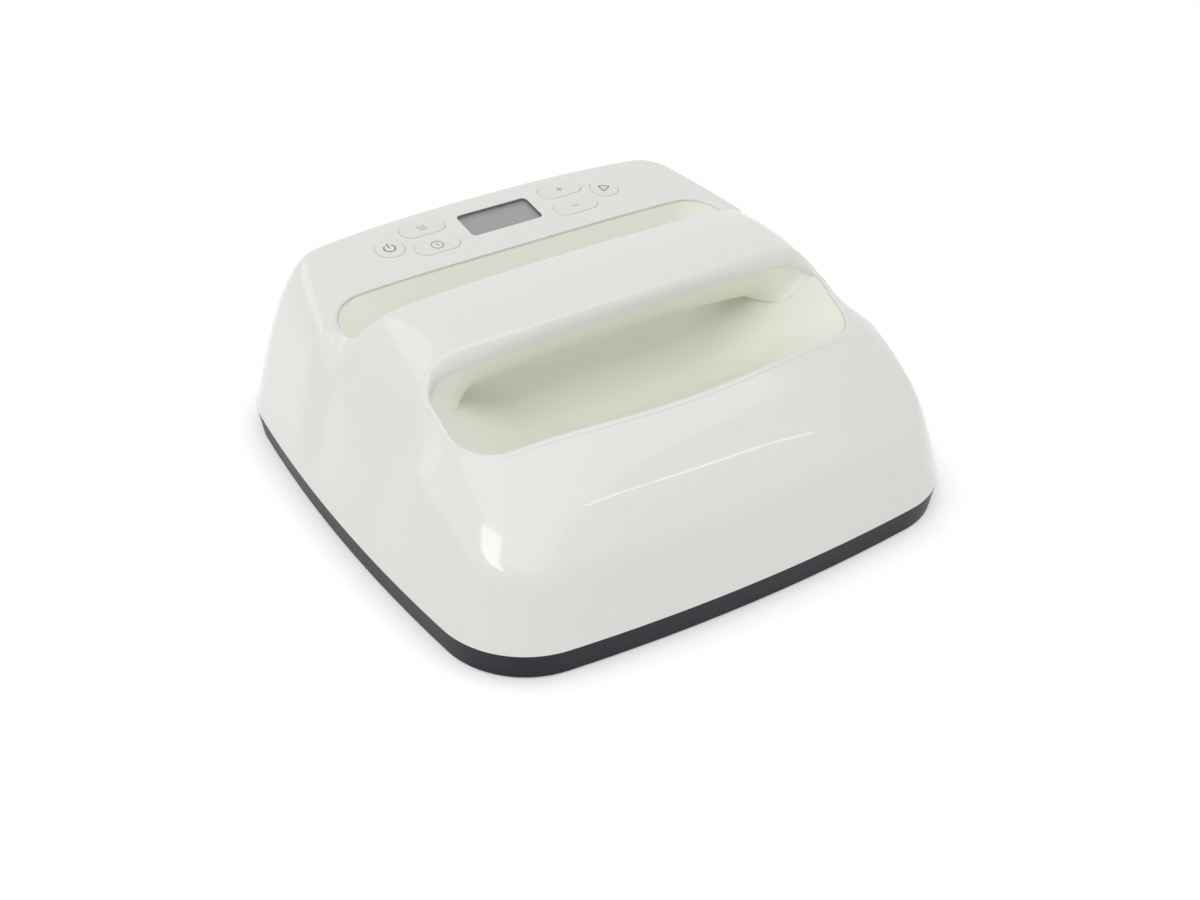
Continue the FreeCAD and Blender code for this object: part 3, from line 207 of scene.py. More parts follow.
# colour that wanders a little, roughness that wanders a little, and a fine bump, all in object space
def mouldedMaterial(name, colour, drift, roughness, roughDrift, patchScale, grainScale, bump,
                    coat=0.0, coatRoughness=0.05, specular=0.5, metallic=0.0):
    material, nodes, links, shader = newMaterial(name)
    place = nodes.new("ShaderNodeTexCoord")
    patches = nodes.new("ShaderNodeTexNoise")
    patches.inputs["Scale"].default_value = patchScale
    patches.inputs["Detail"].default_value = 3
    tint = nodes.new("ShaderNodeMixRGB")
    tint.inputs[1].default_value = (*[value * (1 - drift) for value in colour], 1)
    tint.inputs[2].default_value = (*[min(value * (1 + drift), 1) for value in colour], 1)
    gloss = nodes.new("ShaderNodeMapRange")
    gloss.inputs["To Min"].default_value = roughness - roughDrift
    gloss.inputs["To Max"].default_value = roughness + roughDrift
    grain = nodes.new("ShaderNodeTexNoise")
    grain.inputs["Scale"].default_value = grainScale
    grain.inputs["Detail"].default_value = 2
    relief = nodes.new("ShaderNodeBump")
    relief.inputs["Strength"].default_value = bump
    relief.inputs["Distance"].default_value = 0.0002
    for texture in (patches, grain):
        links.new(place.outputs["Object"], texture.inputs["Vector"])
    links.new(patches.outputs["Fac"], tint.inputs[0])
    links.new(tint.outputs[0], shader.inputs["Base Color"])
    links.new(patches.outputs["Fac"], gloss.inputs["Value"])
    links.new(gloss.outputs[0], shader.inputs["Roughness"])
    links.new(grain.outputs["Fac"], relief.inputs["Height"])
    links.new(relief.outputs["Normal"], shader.inputs["Normal"])
    shader.inputs["Coat Weight"].default_value = coat
    shader.inputs["Coat Roughness"].default_value = coatRoughness
    shader.inputs["Specular IOR Level"].default_value = specular
    shader.inputs["Metallic"].default_value = metallic
    return material


# a screen colour from 0 to 255 as linear light: a power of 2.4, and straight near black
def srgb(red, green, blue):
    values = np.array([red, green, blue]) / 255
    return tuple(np.where(values <= 0.04045, values / 12.92, ((values + 0.055) / 1.055) ** 2.4).tolist())


# name, colour, its drift, roughness, its drift, scale of the patches, scale of the grain, bump
finishes = {
    "shell": mouldedMaterial("gloss mint white", srgb(228, 230, 225), 0.010, 0.16, 0.02, 9, 700, 0.02,
                             coat=0.6, coatRoughness=0.03),
    "button": mouldedMaterial("satin button white", srgb(228, 230, 222), 0.01, 0.28, 0.03, 30, 1500, 0.03),
    "cream": mouldedMaterial("satin cream", srgb(235, 238, 226), 0.012, 0.42, 0.04, 14, 1600, 0.06),
    "slate": mouldedMaterial("slate moulding", srgb(36, 38, 44), 0.05, 0.42, 0.05, 20, 1800, 0.12,
                             specular=0.2),
    "icon dark": mouldedMaterial("dark print", srgb(84, 86, 82), 0.05, 0.5, 0.05, 60, 2000, 0.04),
    "icon middle": mouldedMaterial("grey print", srgb(128, 130, 125), 0.05, 0.5, 0.05, 60, 2000, 0.04),
    "icon pale": mouldedMaterial("pale print", srgb(150, 152, 147), 0.05, 0.5, 0.05, 60, 2000, 0.04),
    "plate": mouldedMaterial("non-stick plate", srgb(62, 62, 66), 0.08, 0.38, 0.06, 60, 2600, 0.15,
                             metallic=0.6),
    "steel": mouldedMaterial("zinc steel", srgb(176, 178, 182), 0.05, 0.34, 0.06, 70, 1500, 0.08,
                             metallic=1.0),
    "heater": mouldedMaterial("heater tube", srgb(120, 112, 104), 0.10, 0.45, 0.08, 90, 1600, 0.12,
                              metallic=1.0),
    "blanket": mouldedMaterial("ceramic fibre", srgb(228, 222, 206), 0.06, 0.9, 0.05, 220, 900, 0.8),
    "ceramic": mouldedMaterial("ceramic", srgb(230, 226, 214), 0.03, 0.5, 0.05, 80, 1200, 0.15),
    "board": mouldedMaterial("circuit board", srgb(34, 96, 64), 0.12, 0.4, 0.06, 160, 900, 0.1),
    # the window seal's grey is partly the gasket's own colour and partly painted shade of the window
    # recess's wall
    "seal_and_shade": mouldedMaterial("window seal", srgb(96, 97, 98), 0.06, 0.5, 0.05, 120, 1800, 0.08),
    "black": mouldedMaterial("black moulding", srgb(36, 36, 38), 0.08, 0.45, 0.06, 60, 1800, 0.12),
    "rubber": mouldedMaterial("silicone lead", srgb(206, 200, 184), 0.05, 0.55, 0.06, 120, 1500, 0.1),
}


# display glass: clear with a faint tint that wanders over the pane
def windowMaterial():
    material, nodes, links, shader = newMaterial("display window")
    place = nodes.new("ShaderNodeTexCoord")
    haze = nodes.new("ShaderNodeTexNoise")
    haze.inputs["Scale"].default_value = 40
    tint = nodes.new("ShaderNodeMixRGB")
    tint.inputs[1].default_value = (0.60, 0.60, 0.62, 1)
    tint.inputs[2].default_value = (0.68, 0.68, 0.70, 1)
    links.new(place.outputs["Object"], haze.inputs["Vector"])
    links.new(haze.outputs["Fac"], tint.inputs[0])
    links.new(tint.outputs[0], shader.inputs["Base Color"])
    shader.inputs["Alpha"].default_value = 0.2
    shader.inputs["Roughness"].default_value = 0.04
    return material


# display: violet grey with fine rows and columns of a blank liquid-crystal cell
def displayMaterial():
    material, nodes, links, shader = newMaterial("blank display")
    place = nodes.new("ShaderNodeTexCoord")
    bands = []
    for axis in ("X", "Y"):
        wave = nodes.new("ShaderNodeTexWave")
        wave.wave_type = "BANDS"
        wave.bands_direction = axis
        wave.inputs["Scale"].default_value = 260
        links.new(place.outputs["Object"], wave.inputs["Vector"])
        bands.append(wave)
    cells = nodes.new("ShaderNodeMath")
    cells.operation = "MULTIPLY"
    tint = nodes.new("ShaderNodeMixRGB")
    tint.inputs[1].default_value = (*srgb(146, 146, 151), 1)
    tint.inputs[2].default_value = (*srgb(156, 156, 161), 1)
    links.new(bands[0].outputs["Fac"], cells.inputs[0])
    links.new(bands[1].outputs["Fac"], cells.inputs[1])
    links.new(cells.outputs[0], tint.inputs[0])
    links.new(tint.outputs[0], shader.inputs["Base Color"])
    shader.inputs["Roughness"].default_value = 0.3
    shader.inputs["Coat Weight"].default_value = 0.8
    return material


finishes["window"] = windowMaterial()
finishes["display"] = displayMaterial()

slotFinish = {
    "shell_white": "shell", "button_white": "button", "grip_cream": "cream", "ring_slate": "slate",
    "window_clear": "window", "display_grey": "display", "plate_coated": "plate",
    "heater_steel": "heater", "fibre_blanket": "blanket", "sheet_steel": "steel", "ceramic": "ceramic",
    "screw_steel": "steel", "board_green": "board", "black_plastic": "black", "lead_rubber": "rubber",
}
for entry in frame["record"]["subparts"]:
    solid = frame["nodes"][entry["node"]]
    solid.data.materials.clear()
    solid.data.materials.append(finishes[slotFinish[entry["material_slot"]]])

# plan curves of the shell

# the hand well's numbers in millimetres; widen is per millimetre
well = {
    "halfLength": 96.5, "front": 74, "bow": 9, "barFront": 26, "barBack": 20.5, "back": 55,
    "nearCorner": 20, "farCorner": 17, "widen": 0.0004,
    "floor": 46, "centre": 10, "reach": 0.62, "rise": 1.5, "wall": 2.2,
}
bowRadius = (well["halfLength"] ** 2 + well["bow"] ** 2) / (2 * well["bow"])
bowCentre = bowRadius - well["front"]
nearX = well["halfLength"] - well["nearCorner"]
nearY = bowCentre - math.sqrt((bowRadius - well["nearCorner"]) ** 2 - nearX ** 2)
nearTilt = math.atan2(nearX, bowCentre - nearY)


# points on a circle, evenly spaced in angle, without the last one
def arc(cx, cy, radius, start, end, count):
    angle = np.linspace(start, end, count, endpoint=False)
    return np.stack([cx + radius * np.cos(angle), cy + radius * np.sin(angle)], axis=1)


# points on a straight line, evenly spaced, without the last one
def line(x0, y0, x1, y1, count):
    t = np.linspace(0, 1, count, endpoint=False)[:, None]
    return np.array([[x0, y0]]) * (1 - t) + np.array([[x1, y1]]) * t


# right half of a loop from the middle of its near side to the middle of its far side, then mirrored
def fullLoop(right, last):
    half = np.concatenate([right, [last]])
    return np.concatenate([half, half[-2:0:-1] * [-1, 1]])


# the openings and the bowl widen a little toward the rear
def widened(loop):
    return np.stack([loop[:, 0] * (1 + well["widen"] * (loop[:, 1] + well["centre"])), loop[:, 1]], axis=1)


# points on each stretch of half an opening's loop
counts = {"near": 40, "nearCorner": 18, "end": 26, "farCorner": 14, "far": 40}


# plan of the front opening: a bowed near side, round corners, straight ends and far side
def frontLoop(corner):
    half, far = well["halfLength"], -well["barFront"]
    right = np.concatenate([
        arc(0, bowCentre, bowRadius, -math.pi / 2, -math.pi / 2 + nearTilt, counts["near"]),
        arc(nearX, nearY, well["nearCorner"], -math.pi / 2 + nearTilt, 0, counts["nearCorner"]),
        line(half, nearY, half, far - corner, counts["end"]),
        arc(half - corner, far - corner, corner, 0, math.pi / 2, counts["farCorner"]),
        line(half - corner, far, 0, far, counts["far"]),
    ])
    return widened(fullLoop(right, [0, far]))


# plan of the rear opening: straight sides and ends, and round corners, the rear ones of their own size
def rearLoop(corner):
    half, near, far, farCorner = well["halfLength"], well["barBack"], well["back"], well["farCorner"]
    right = np.concatenate([
        line(0, near, half - corner, near, counts["near"]),
        arc(half - corner, near + corner, corner, -math.pi / 2, 0, counts["nearCorner"]),
        line(half, near + corner, half, far - farCorner, counts["end"]),
        arc(half - farCorner, far - farCorner, farCorner, 0, math.pi / 2, counts["farCorner"]),
        line(half - farCorner, far, 0, far, counts["far"]),
    ])
    return widened(fullLoop(right, [0, far]))


outlineSearch = {"reach": 200.0, "halvings": 40}


# point of the base outline where a ray at an angle from the middle meets it, found by halving its length
def outlinePoint(angle):
    angle = np.asarray(angle, float)
    direction = np.stack([np.cos(angle), np.sin(angle)], axis=-1)
    low, high = np.zeros(angle.shape), np.full(angle.shape, outlineSearch["reach"])
    for step in range(outlineSearch["halvings"]):
        middle = (low + high) / 2
        inside = edgeDistance(direction[..., 0] * middle, direction[..., 1] * middle) > 0
        low, high = np.where(inside, middle, low), np.where(inside, high, middle)
    return direction * low[..., None]


# points of the base outline at evenly spaced angles in degrees, without the last one
def outlineRun(start, end, count):
    return outlinePoint(np.radians(np.linspace(start, end, count, endpoint=False)))


# the two patches of the shell meet in a line over the middle of the bar; a corner of the base lies between
# the two angles, which are from the side and in degrees
patchPlan = {"barEnd": 92, "cornerStart": 36, "cornerEnd": 54}
barMiddle = (well["barBack"] - well["barFront"]) / 2
splitAngle = math.degrees(math.atan2(barMiddle, dome["halfWidth"]))
splitX = float(outlinePoint(math.radians(splitAngle))[0])


# edge of the front patch: the base outline round the front, closed by the line over the bar
def frontOuterLoop():
    plan = patchPlan
    return fullLoop(np.concatenate([
        outlineRun(-90, -plan["cornerEnd"], counts["near"]),
        outlineRun(-plan["cornerEnd"], -plan["cornerStart"], counts["nearCorner"]),
        outlineRun(-plan["cornerStart"], splitAngle, counts["end"]),
        line(splitX, barMiddle, plan["barEnd"], barMiddle, counts["farCorner"]),
        line(plan["barEnd"], barMiddle, 0, barMiddle, counts["far"]),
    ]), [0, barMiddle])


# edge of the rear patch: the line over the bar, closed by the base outline round the rear
def rearOuterLoop():
    plan = patchPlan
    return fullLoop(np.concatenate([
        line(0, barMiddle, plan["barEnd"], barMiddle, counts["near"]),
        line(plan["barEnd"], barMiddle, splitX, barMiddle, counts["nearCorner"]),
        outlineRun(splitAngle, plan["cornerStart"], counts["end"]),
        outlineRun(plan["cornerStart"], plan["cornerEnd"], counts["farCorner"]),
        outlineRun(plan["cornerEnd"], 90, counts["far"]),
    ]), outlinePoint(math.pi / 2))


# directions square to a loop, away from its inside
def loopNormals(loop):
    along = np.roll(loop, -1, axis=0) - np.roll(loop, 1, axis=0)
    along /= np.linalg.norm(along, axis=1, keepdims=True)
    return np.stack([along[:, 1], -along[:, 0]], axis=1)


# upper shell

shellLook = {
    "rows": 54, "rollRows": 9, "wall": 2.4, "frontCorner": 10, "rearCorner": 16, "calm": 44, "change": 36,
    "nearBar": 1.5, "straight": 0.3, "crowding": 1.9, "onBar": 1e-6, "onSeam": 1e-3,
    # width and depth of the rolled edge: middle of the bar, its ends, ends of the opening, far from the bar
    "frontRoll": {"bar": (2.6, 4.3), "barEnd": (3.6, 6.7), "end": (3.6, 2.2), "away": (1.5, 1.0)},
    "rearRoll": {"bar": (2.6, 4.0), "barEnd": (3.0, 4.6), "end": (3.0, 2.0), "away": (0.6, 0.5)},
}


# the roll's width and depth for points whose outward direction turns from the bar (1) to away from it (-1)
def rollSize(x, toBar, roll):
    share = smoothStep((abs(x) - shellLook["calm"]) / shellLook["change"])
    near, away = np.clip(toBar, 0, 1) ** shellLook["nearBar"], np.clip(-toBar, 0, 1)
    sizes = []
    for which in range(2):
        bar = roll["bar"][which] + (roll["barEnd"][which] - roll["bar"][which]) * share
        end = roll["end"][which]
        sizes.append(end + (bar - end) * near + (roll["away"][which] - end) * away)
    return sizes


# the shell round one opening: a quarter of an ellipse rolls down from the dome to the opening's edge,
# then the wall stands straight; outwards the dome runs to the outer loop, closer rows near its edge
def shellPatch(loop, outer, roll, barSide):
    normal = loopNormals(loop)
    width, depth = rollSize(loop[:, 0], normal[:, 1] * barSide, roll)
    drop = lipDrop(loop[:, 1])
    depth = np.minimum(depth, drop - shellLook["straight"])
    bend = np.linspace(math.pi / 2, 0, shellLook["rollRows"])[:, None]
    out = width * (1 - np.sin(bend))
    plan = loop[None] + normal[None] * out[..., None]
    rolled = lifted(plan, domeAt(plan[..., 0], plan[..., 1]) - depth * (1 - np.cos(bend)))
    foot = lifted(loop, domeAt(loop[:, 0], loop[:, 1]) - drop)[None]
    edge = loop + normal * width[:, None]
    t = np.linspace(0, 1, shellLook["rows"])[1:, None, None]
    share = 1 - (1 - t) ** shellLook["crowding"]
    plan = edge[None] * (1 - share) + outer[None] * share
    height = domeAt(plan[..., 0], plan[..., 1])
    offBar = abs(outer[:, 1] - barMiddle) > shellLook["onBar"]
    seam = offBar & (edgeDistance(outer[:, 0], outer[:, 1]) < shellLook["onSeam"])
    height[-1] = np.where(seam, dome["seamHeight"], height[-1])
    return np.concatenate([foot, rolled, lifted(plan, height)])


frontPatch = shellPatch(frontLoop(shellLook["frontCorner"]), frontOuterLoop(), shellLook["frontRoll"], 1)
rearPatch = shellPatch(rearLoop(shellLook["rearCorner"]), rearOuterLoop(), shellLook["rearRoll"], -1)
frontFaces = gridFaces(*frontPatch.shape[:2], True)
rearFaces = gridFaces(*rearPatch.shape[:2], True, frontPatch.shape[0] * frontPatch.shape[1])
upperShell = makeMesh("moulded_shell", [frontPatch, rearPatch], [frontFaces.tolist(), rearFaces.tolist()])
# the open sheet must face up before it gets its wall
if sum(face.normal.z * face.area for face in upperShell.data.polygons) < 0:
    upperShell.data.flip_normals()
wall = upperShell.modifiers.new("wall", "SOLIDIFY")
wall.thickness = shellLook["wall"] * mm
wall.offset = -1
wall.use_quality_normals = True
print("shell:", len(upperShell.data.polygons), "faces")

# control panel

panelMap = np.array(Matrix.Rotation(math.atan(dome["panelSlope"]), 3, "X"))


# points across the panel, along its slope and square to it, turned into the object's frame
def onPanel(points):
    return np.asarray(points) @ panelMap.T + [0, dome["panelBack"], dome["panelHeight"]]


buttonShape = {
    "pillLength": 21.6, "pillWidth": 10.6, "roundRadius": 6.6, "gap": 0.3, "proud": 0.3,
    "flangeGrow": 1.1, "flangeThick": 1.2, "wall": 2.6, "stemRadius": 2, "stemFoot": -5.8,
    "edge": 0.3, "bendPoints": 6, "dish": 0.12, "dishRows": (-4.2, -1.5), "fill": 0.16, "step": 0.05,
    "roundOut": 55.9, "pillOut": 35.9, "rowMiddle": 0.3, "rowApart": 7.2,
}
cutReach = (6, -8)


# each button's kind, and its place across the panel and along its slope
def placeButtons():
    shape = buttonShape
    back, front = shape["rowMiddle"] + shape["rowApart"], shape["rowMiddle"] - shape["rowApart"]
    left, right = -shape["pillOut"], shape["pillOut"]
    return {
        "power_button": ("round", -shape["roundOut"], 0), "start_button": ("round", shape["roundOut"], 0),
        "temperature_button": ("pill", left, back), "timer_button": ("pill", left, front),
        "plus_button": ("pill", right, back), "minus_button": ("pill", right, front),
    }


buttonPlaces = placeButtons()


# a pill is two half circles whose centres stand apart; a round button is one with no distance
def pillLoop(kind, grow, count=48):
    angle = np.linspace(0, 2 * math.pi, count, endpoint=False)
    if kind == "round":
        radius, apart = buttonShape["roundRadius"] + grow, 0
    else:
        radius = buttonShape["pillWidth"] / 2 + grow
        apart = (buttonShape["pillLength"] - buttonShape["pillWidth"]) / 2
    across = radius * np.cos(angle) + apart * np.sign(np.round(np.cos(angle), 6))
    return np.stack([across, radius * np.sin(angle)], axis=1)


# how far the panel lies below its middle line
def sunk(x):
    return -dome["panelFall"] * (x / 100) ** 4


# each step is how far the loop stands out from the face's edge, and its height
def buttonRows(kind, steps):
    return [lifted(pillLoop(kind, grow), height) for grow, height in steps]


# a button's hole in the panel: its loop grown by the gap, as a straight prism
def makeCutter(name, kind, x, along):
    rows = np.stack(buttonRows(kind, [(buttonShape["gap"], height) for height in cutReach]))
    rows = rows + [x, along, sunk(x)]
    tube, faces = closedTube(rows)
    return makeMesh(name, [onPanel(tube)], [faces], smooth=False)


windowShape = {"length": 36.5, "width": 17.3, "corner": 2.5, "shift": 0.5, "lap": 0.05}


# the window's outline from four arcs, one in each quarter turn
def windowLoop(grow, count=10):
    shape = windowShape
    radius = shape["corner"] + grow
    wide, high = shape["length"] / 2 + grow - radius, shape["width"] / 2 + grow - radius
    arcs = []
    for turn, (cx, cy) in enumerate([(wide, high), (-wide, high), (-wide, -high), (wide, -high)]):
        start, end = turn * math.pi / 2, (turn + 1) * math.pi / 2 + shape["lap"]
        arcs.append(arc(cx, cy, radius, start, end, count))
    return np.concatenate(arcs) + [0, shape["shift"]]


# each step is how far the loop stands out from the window's edge, and its height
def windowRows(steps):
    return np.stack([lifted(windowLoop(grow), height) for grow, height in steps])


# the window's hole in the panel: its outline as a straight prism
def windowCutter():
    tube, faces = closedTube(windowRows([(0, height) for height in cutReach]))
    return makeMesh("window_cutter", [onPanel(tube)], [faces], smooth=False)


cutters = [makeCutter(name + "_cutter", *place) for name, place in buttonPlaces.items()] + [windowCutter()]
cutWith(upperShell, cutters)
part(upperShell, "housing", finishes["shell"], ["upper_shell"])
print("shell cut:", len(upperShell.data.polygons), "faces")

# display

displayLook = {
    "recess": 1.0, "pane": 0.8, "slack": 0.25, "inner": 1, "bevel": 0.1, "cell": 1.9, "moduleTop": 4.4,
    "moduleFoot": 12, "margin": 2.4, "sealTop": 0.35, "sealFoot": 2.2, "sealOut": 0.02, "sealFall": 0.3,
}


# the pane, the cell behind it and the seal round it, whose dark colour is partly painted shade, are stacks
# of the window's outline
def makeDisplay():
    look = displayLook
    slack, top, foot = -look["slack"], -look["recess"], -look["recess"] - look["pane"]
    inner, bevel, under = slack - look["inner"], look["bevel"], slack + look["sealOut"]
    pane, faces = closedTube(windowRows([(inner, top), (slack - bevel, top), (slack, top - bevel),
                                         (slack, foot), (inner, foot)]))
    glass = makeMesh("window_pane", [onPanel(pane)], [faces], sharpAngle=35)
    part(glass, "housing", finishes["window"], ["display_window"])
    cellTop, moduleTop, moduleFoot = -look["cell"], -look["moduleTop"], -look["moduleFoot"]
    cell, faces = closedTube(windowRows([(inner, cellTop), (slack, cellTop), (slack, moduleTop),
                                         (look["margin"], moduleTop), (look["margin"], moduleFoot),
                                         (slack, moduleFoot)]))
    screen = makeMesh("display_cell", [onPanel(cell)], [faces], smooth=False)
    part(screen, "housing", finishes["display"], ["display_module"])
    # a dark seal stands between the pane and the shell; its dark grey is partly a real gasket and partly
    # painted shade of the recess wall above the pane
    ring = windowRows([(-look["sealOut"], -look["sealTop"]), (under, -look["sealTop"] - look["sealFall"]),
                       (under, -look["sealFoot"]), (-look["sealOut"], -look["sealFoot"])])
    ring = np.concatenate([ring, ring[:1]])
    faces = gridFaces(*ring.shape[:2], True).tolist()
    seal_and_shade = makeMesh("window_seal_and_shade", [onPanel(ring)], [faces], sharpAngle=35)
    part(seal_and_shade, "housing", finishes["seal_and_shade"])


makeDisplay()
print("display made")

# buttons

# a cap with a rounded edge, its side, the flange under the panel and the stem down to the switch
def makeButton(name, kind, x, along):
    shape = buttonShape
    edge = shape["edge"]
    bend = np.linspace(0, math.pi / 2, shape["bendPoints"])
    steps = [(grow, shape["proud"] - shape["dish"]) for grow in shape["dishRows"]]
    steps += [(shape["fill"] + edge * (math.sin(angle) - 1), shape["proud"] - edge * (1 - math.cos(angle)))
              for angle in bend]
    top = -(shape["wall"] + shape["gap"])
    flange, foot = shape["gap"] + shape["flangeGrow"], top - shape["flangeThick"]
    steps += [(shape["fill"], top + shape["step"]), (shape["fill"] + shape["step"], top),
              (flange, top), (flange, foot)]
    rows = buttonRows(kind, steps)
    angle = np.linspace(0, 2 * math.pi, len(rows[0]), endpoint=False)
    stem = shape["stemRadius"] * np.stack([np.cos(angle), np.sin(angle)], axis=1)
    rows += [lifted(stem, foot), lifted(stem, shape["stemFoot"])]
    tube, faces = closedTube(np.stack(rows) + [x, along, sunk(x)])
    button = makeMesh(name + "_cap", [onPanel(tube)], [faces], sharpAngle=35)
    return part(button, name, finishes["button"], [name])


for name, place in buttonPlaces.items():
    makeButton(name, *place)
print("buttons made")

# signs on the buttons

iconLook = {"lift": 0.03, "sink": 0.12, "layer": 0.004, "wave": 0.32, "playCorner": 1.7}


# a stroke is a flat band along a line of points, laid on the button's face
def strokeBand(points, width):
    points = np.asarray(points, float)
    along = np.gradient(points, axis=0)
    along /= np.linalg.norm(along, axis=1, keepdims=True)
    side = np.stack([-along[:, 1], along[:, 0]], axis=1) * width / 2
    return points - side, points + side


# points on a circle between two angles in degrees, both ends included
def curvePoints(cx, cy, radius, start, end, count=40):
    angle = np.radians(np.linspace(start, end, count))
    return np.stack([cx + radius * np.cos(angle), cy + radius * np.sin(angle)], axis=1)


# a straight stroke: its two ends and their middle
def segment(x0, y0, x1, y1):
    return np.array([[x0, y0], [(x0 + x1) / 2, (y0 + y1) / 2], [x1, y1]])


# an upright stroke that sways by one period of a sine
def wavePoints(x, low, high):
    y = np.linspace(low, high, 24)
    return np.stack([x + iconLook["wave"] * np.sin((y - low) / (high - low) * 2 * math.pi), y], axis=1)


# a triangle with round corners whose tip points right
def playPoints(left, right, half, radius):
    reach = math.atan2(half, right - left)
    slope = 90 - math.degrees(reach)
    high, tip = half - radius * iconLook["playCorner"], right - radius / math.sin(reach)
    corners = [curvePoints(left + radius, high, radius, 180, slope, 8),
               curvePoints(tip, 0, radius, slope, -slope, 8),
               curvePoints(left + radius, -high, radius, -slope, -180, 8)]
    corners.append(corners[0][:1])
    return np.concatenate(corners)


# for each button: width of the strokes, tone, strokes
iconStrokes = {
    "power_button": (0.55, "dark", [curvePoints(0, 0, 2.55, -232, 52), segment(0, 0.4, 0, 3.4)]),
    "start_button": (0.5, "dark", [playPoints(-1.75, 3.0, 2.45, 0.35)]),
    "temperature_button": (0.42, "pale", [wavePoints(x, -1.9, 1.9) for x in (-1.45, 0, 1.45)]),
    "timer_button": (0.42, "middle", [curvePoints(0, 0, 2.7, 0, 360), segment(0, -0.1, 0, 1.6),
                                      segment(0, 0, 1.15, -0.6)]),
    "plus_button": (0.42, "middle", [segment(-1.6, 0, 1.6, 0), segment(0, -1.6, 0, 1.6)]),
    "minus_button": (0.42, "middle", [segment(-1.65, 0, 1.65, 0)]),
}


# each stroke is a flat band with straight sides, its underside sunk in the button's face
def makeIcon(name, width, tone, strokes):
    kind, x, along = buttonPlaces[name]
    top = buttonShape["proud"] - buttonShape["dish"] + sunk(x)
    blocks, faces, first = [], [], 0
    for layer, stroke in enumerate(strokes):
        left, right = strokeBand(stroke, width)
        high, low = top + iconLook["lift"] + iconLook["layer"] * layer, top - iconLook["sink"]
        loops = [lifted(left, high), lifted(right, high), lifted(right, low), lifted(left, low)]
        block = np.stack(loops + loops[:1]) + [x, along, 0]
        blocks.append(onPanel(block))
        count = len(stroke)
        faces.append(gridFaces(len(block), count, False, first).tolist())
        faces.append([[first + row * count + end for row in range(4)] for end in (0, count - 1)])
        first += block.shape[0] * block.shape[1]
    icon = makeMesh(name.replace("_button", "_icon"), blocks, faces, smooth=False)
    return part(icon, name, finishes["icon " + tone])


for name, (width, tone, strokes) in iconStrokes.items():
    makeIcon(name, width, tone, strokes)
print("icons made")

# hand well

linerLook = {
    "gap": 0.25, "round": 0.25, "under": 0.12, "below": 0.12, "clear": 0.6, "groove": 0.22,
    "close": 0.25, "endStart": 0.3, "endChange": 0.5, "barBlend": 20, "coverStart": 2, "coverChange": 8,
    "rimDepth": 0.5, "flange": 1.0, "outside": 1.2, "rows": 40, "firstRow": 0.006, "middleRows": [0.97, 0.8],
}
bowlCounts = {"near": 50, "nearCorner": 22, "end": 90, "farCorner": 18, "far": 50}


# plan of the bowl under both openings, from the middle of its front round to it again
def bowlLoop(grow):
    half, back = well["halfLength"] + grow, well["back"] + grow
    near, far = well["nearCorner"] + grow, well["farCorner"] + grow
    right = np.concatenate([
        arc(0, bowCentre, bowRadius + grow, -math.pi / 2, -math.pi / 2 + nearTilt, bowlCounts["near"]),
        arc(half - near, nearY, near, -math.pi / 2 + nearTilt, 0, bowlCounts["nearCorner"]),
        line(half, nearY, half, back - far, bowlCounts["end"]),
        arc(half - far, back - far, far, 0, math.pi / 2, bowlCounts["farCorner"]),
        line(half - far, back, 0, back, bowlCounts["far"]),
    ])
    return widened(fullLoop(right, [0, back]))


rimLoop = bowlLoop(0)
rimDome = domeAt(rimLoop[:, 0], rimLoop[:, 1])
rimUnder = rimDome - lipDrop(rimLoop[:, 1]) - linerLook["under"]
bowlMiddle = np.array([0, -well["centre"]])


# the bowl's surface runs up to a line under the shell's rolled edge
def rimLineUnderRoll():
    normal = loopNormals(rimLoop)
    front = rollSize(rimLoop[:, 0], normal[:, 1], shellLook["frontRoll"])[1]
    rear = rollSize(rimLoop[:, 0], -normal[:, 1], shellLook["rearRoll"])[1]
    toRear = smoothStep((rimLoop[:, 1] + linerLook["barBlend"]) / (2 * linerLook["barBlend"]))
    return rimDome - (front * (1 - toRear) + rear * toRear) - linerLook["below"]


# where the bar passes over the rim its top stays below the shell
def rimLimit(high):
    look = linerLook
    frontSink = well["barFront"] + shellLook["frontCorner"] + look["coverStart"] + rimLoop[:, 1]
    rearSink = well["barBack"] + shellLook["rearCorner"] + look["coverStart"] - rimLoop[:, 1]
    covered = smoothStep(np.minimum(frontSink, rearSink) / look["coverChange"])
    return high * (1 - covered) + np.minimum(rimDome - shellLook["wall"] - look["clear"], high) * covered


rimHigh = rimLineUnderRoll()
rimTop = rimLimit(rimHigh)


# share of the wall's height at a share of the way in from the rim: a power of the way that is left
# to the flat floor
def bowlRise(inward):
    return np.maximum(1 - inward / well["reach"], 0) ** well["rise"]


# a row of the bowl: a loop drawn in toward the middle, at the bowl's height there
# and no higher than its rim
def bowlRow(loop, inward, rim, sink):
    plan = bowlMiddle + (loop - bowlMiddle) * (1 - inward)
    height = well["floor"] - sink + (rim - well["floor"]) * bowlRise(inward)
    return lifted(plan, np.minimum(height, rimTop))


# toward the round ends the liner closes up to the shell's edge
def rimRow(grow, height):
    look = linerLook
    outward = np.abs(loopNormals(rimLoop)[:, 0])
    endward = smoothStep((outward - look["endStart"]) / look["endChange"])[:, None]
    return lifted(bowlLoop(grow) * (1 - endward) + bowlLoop(grow * look["close"]) * endward, height)


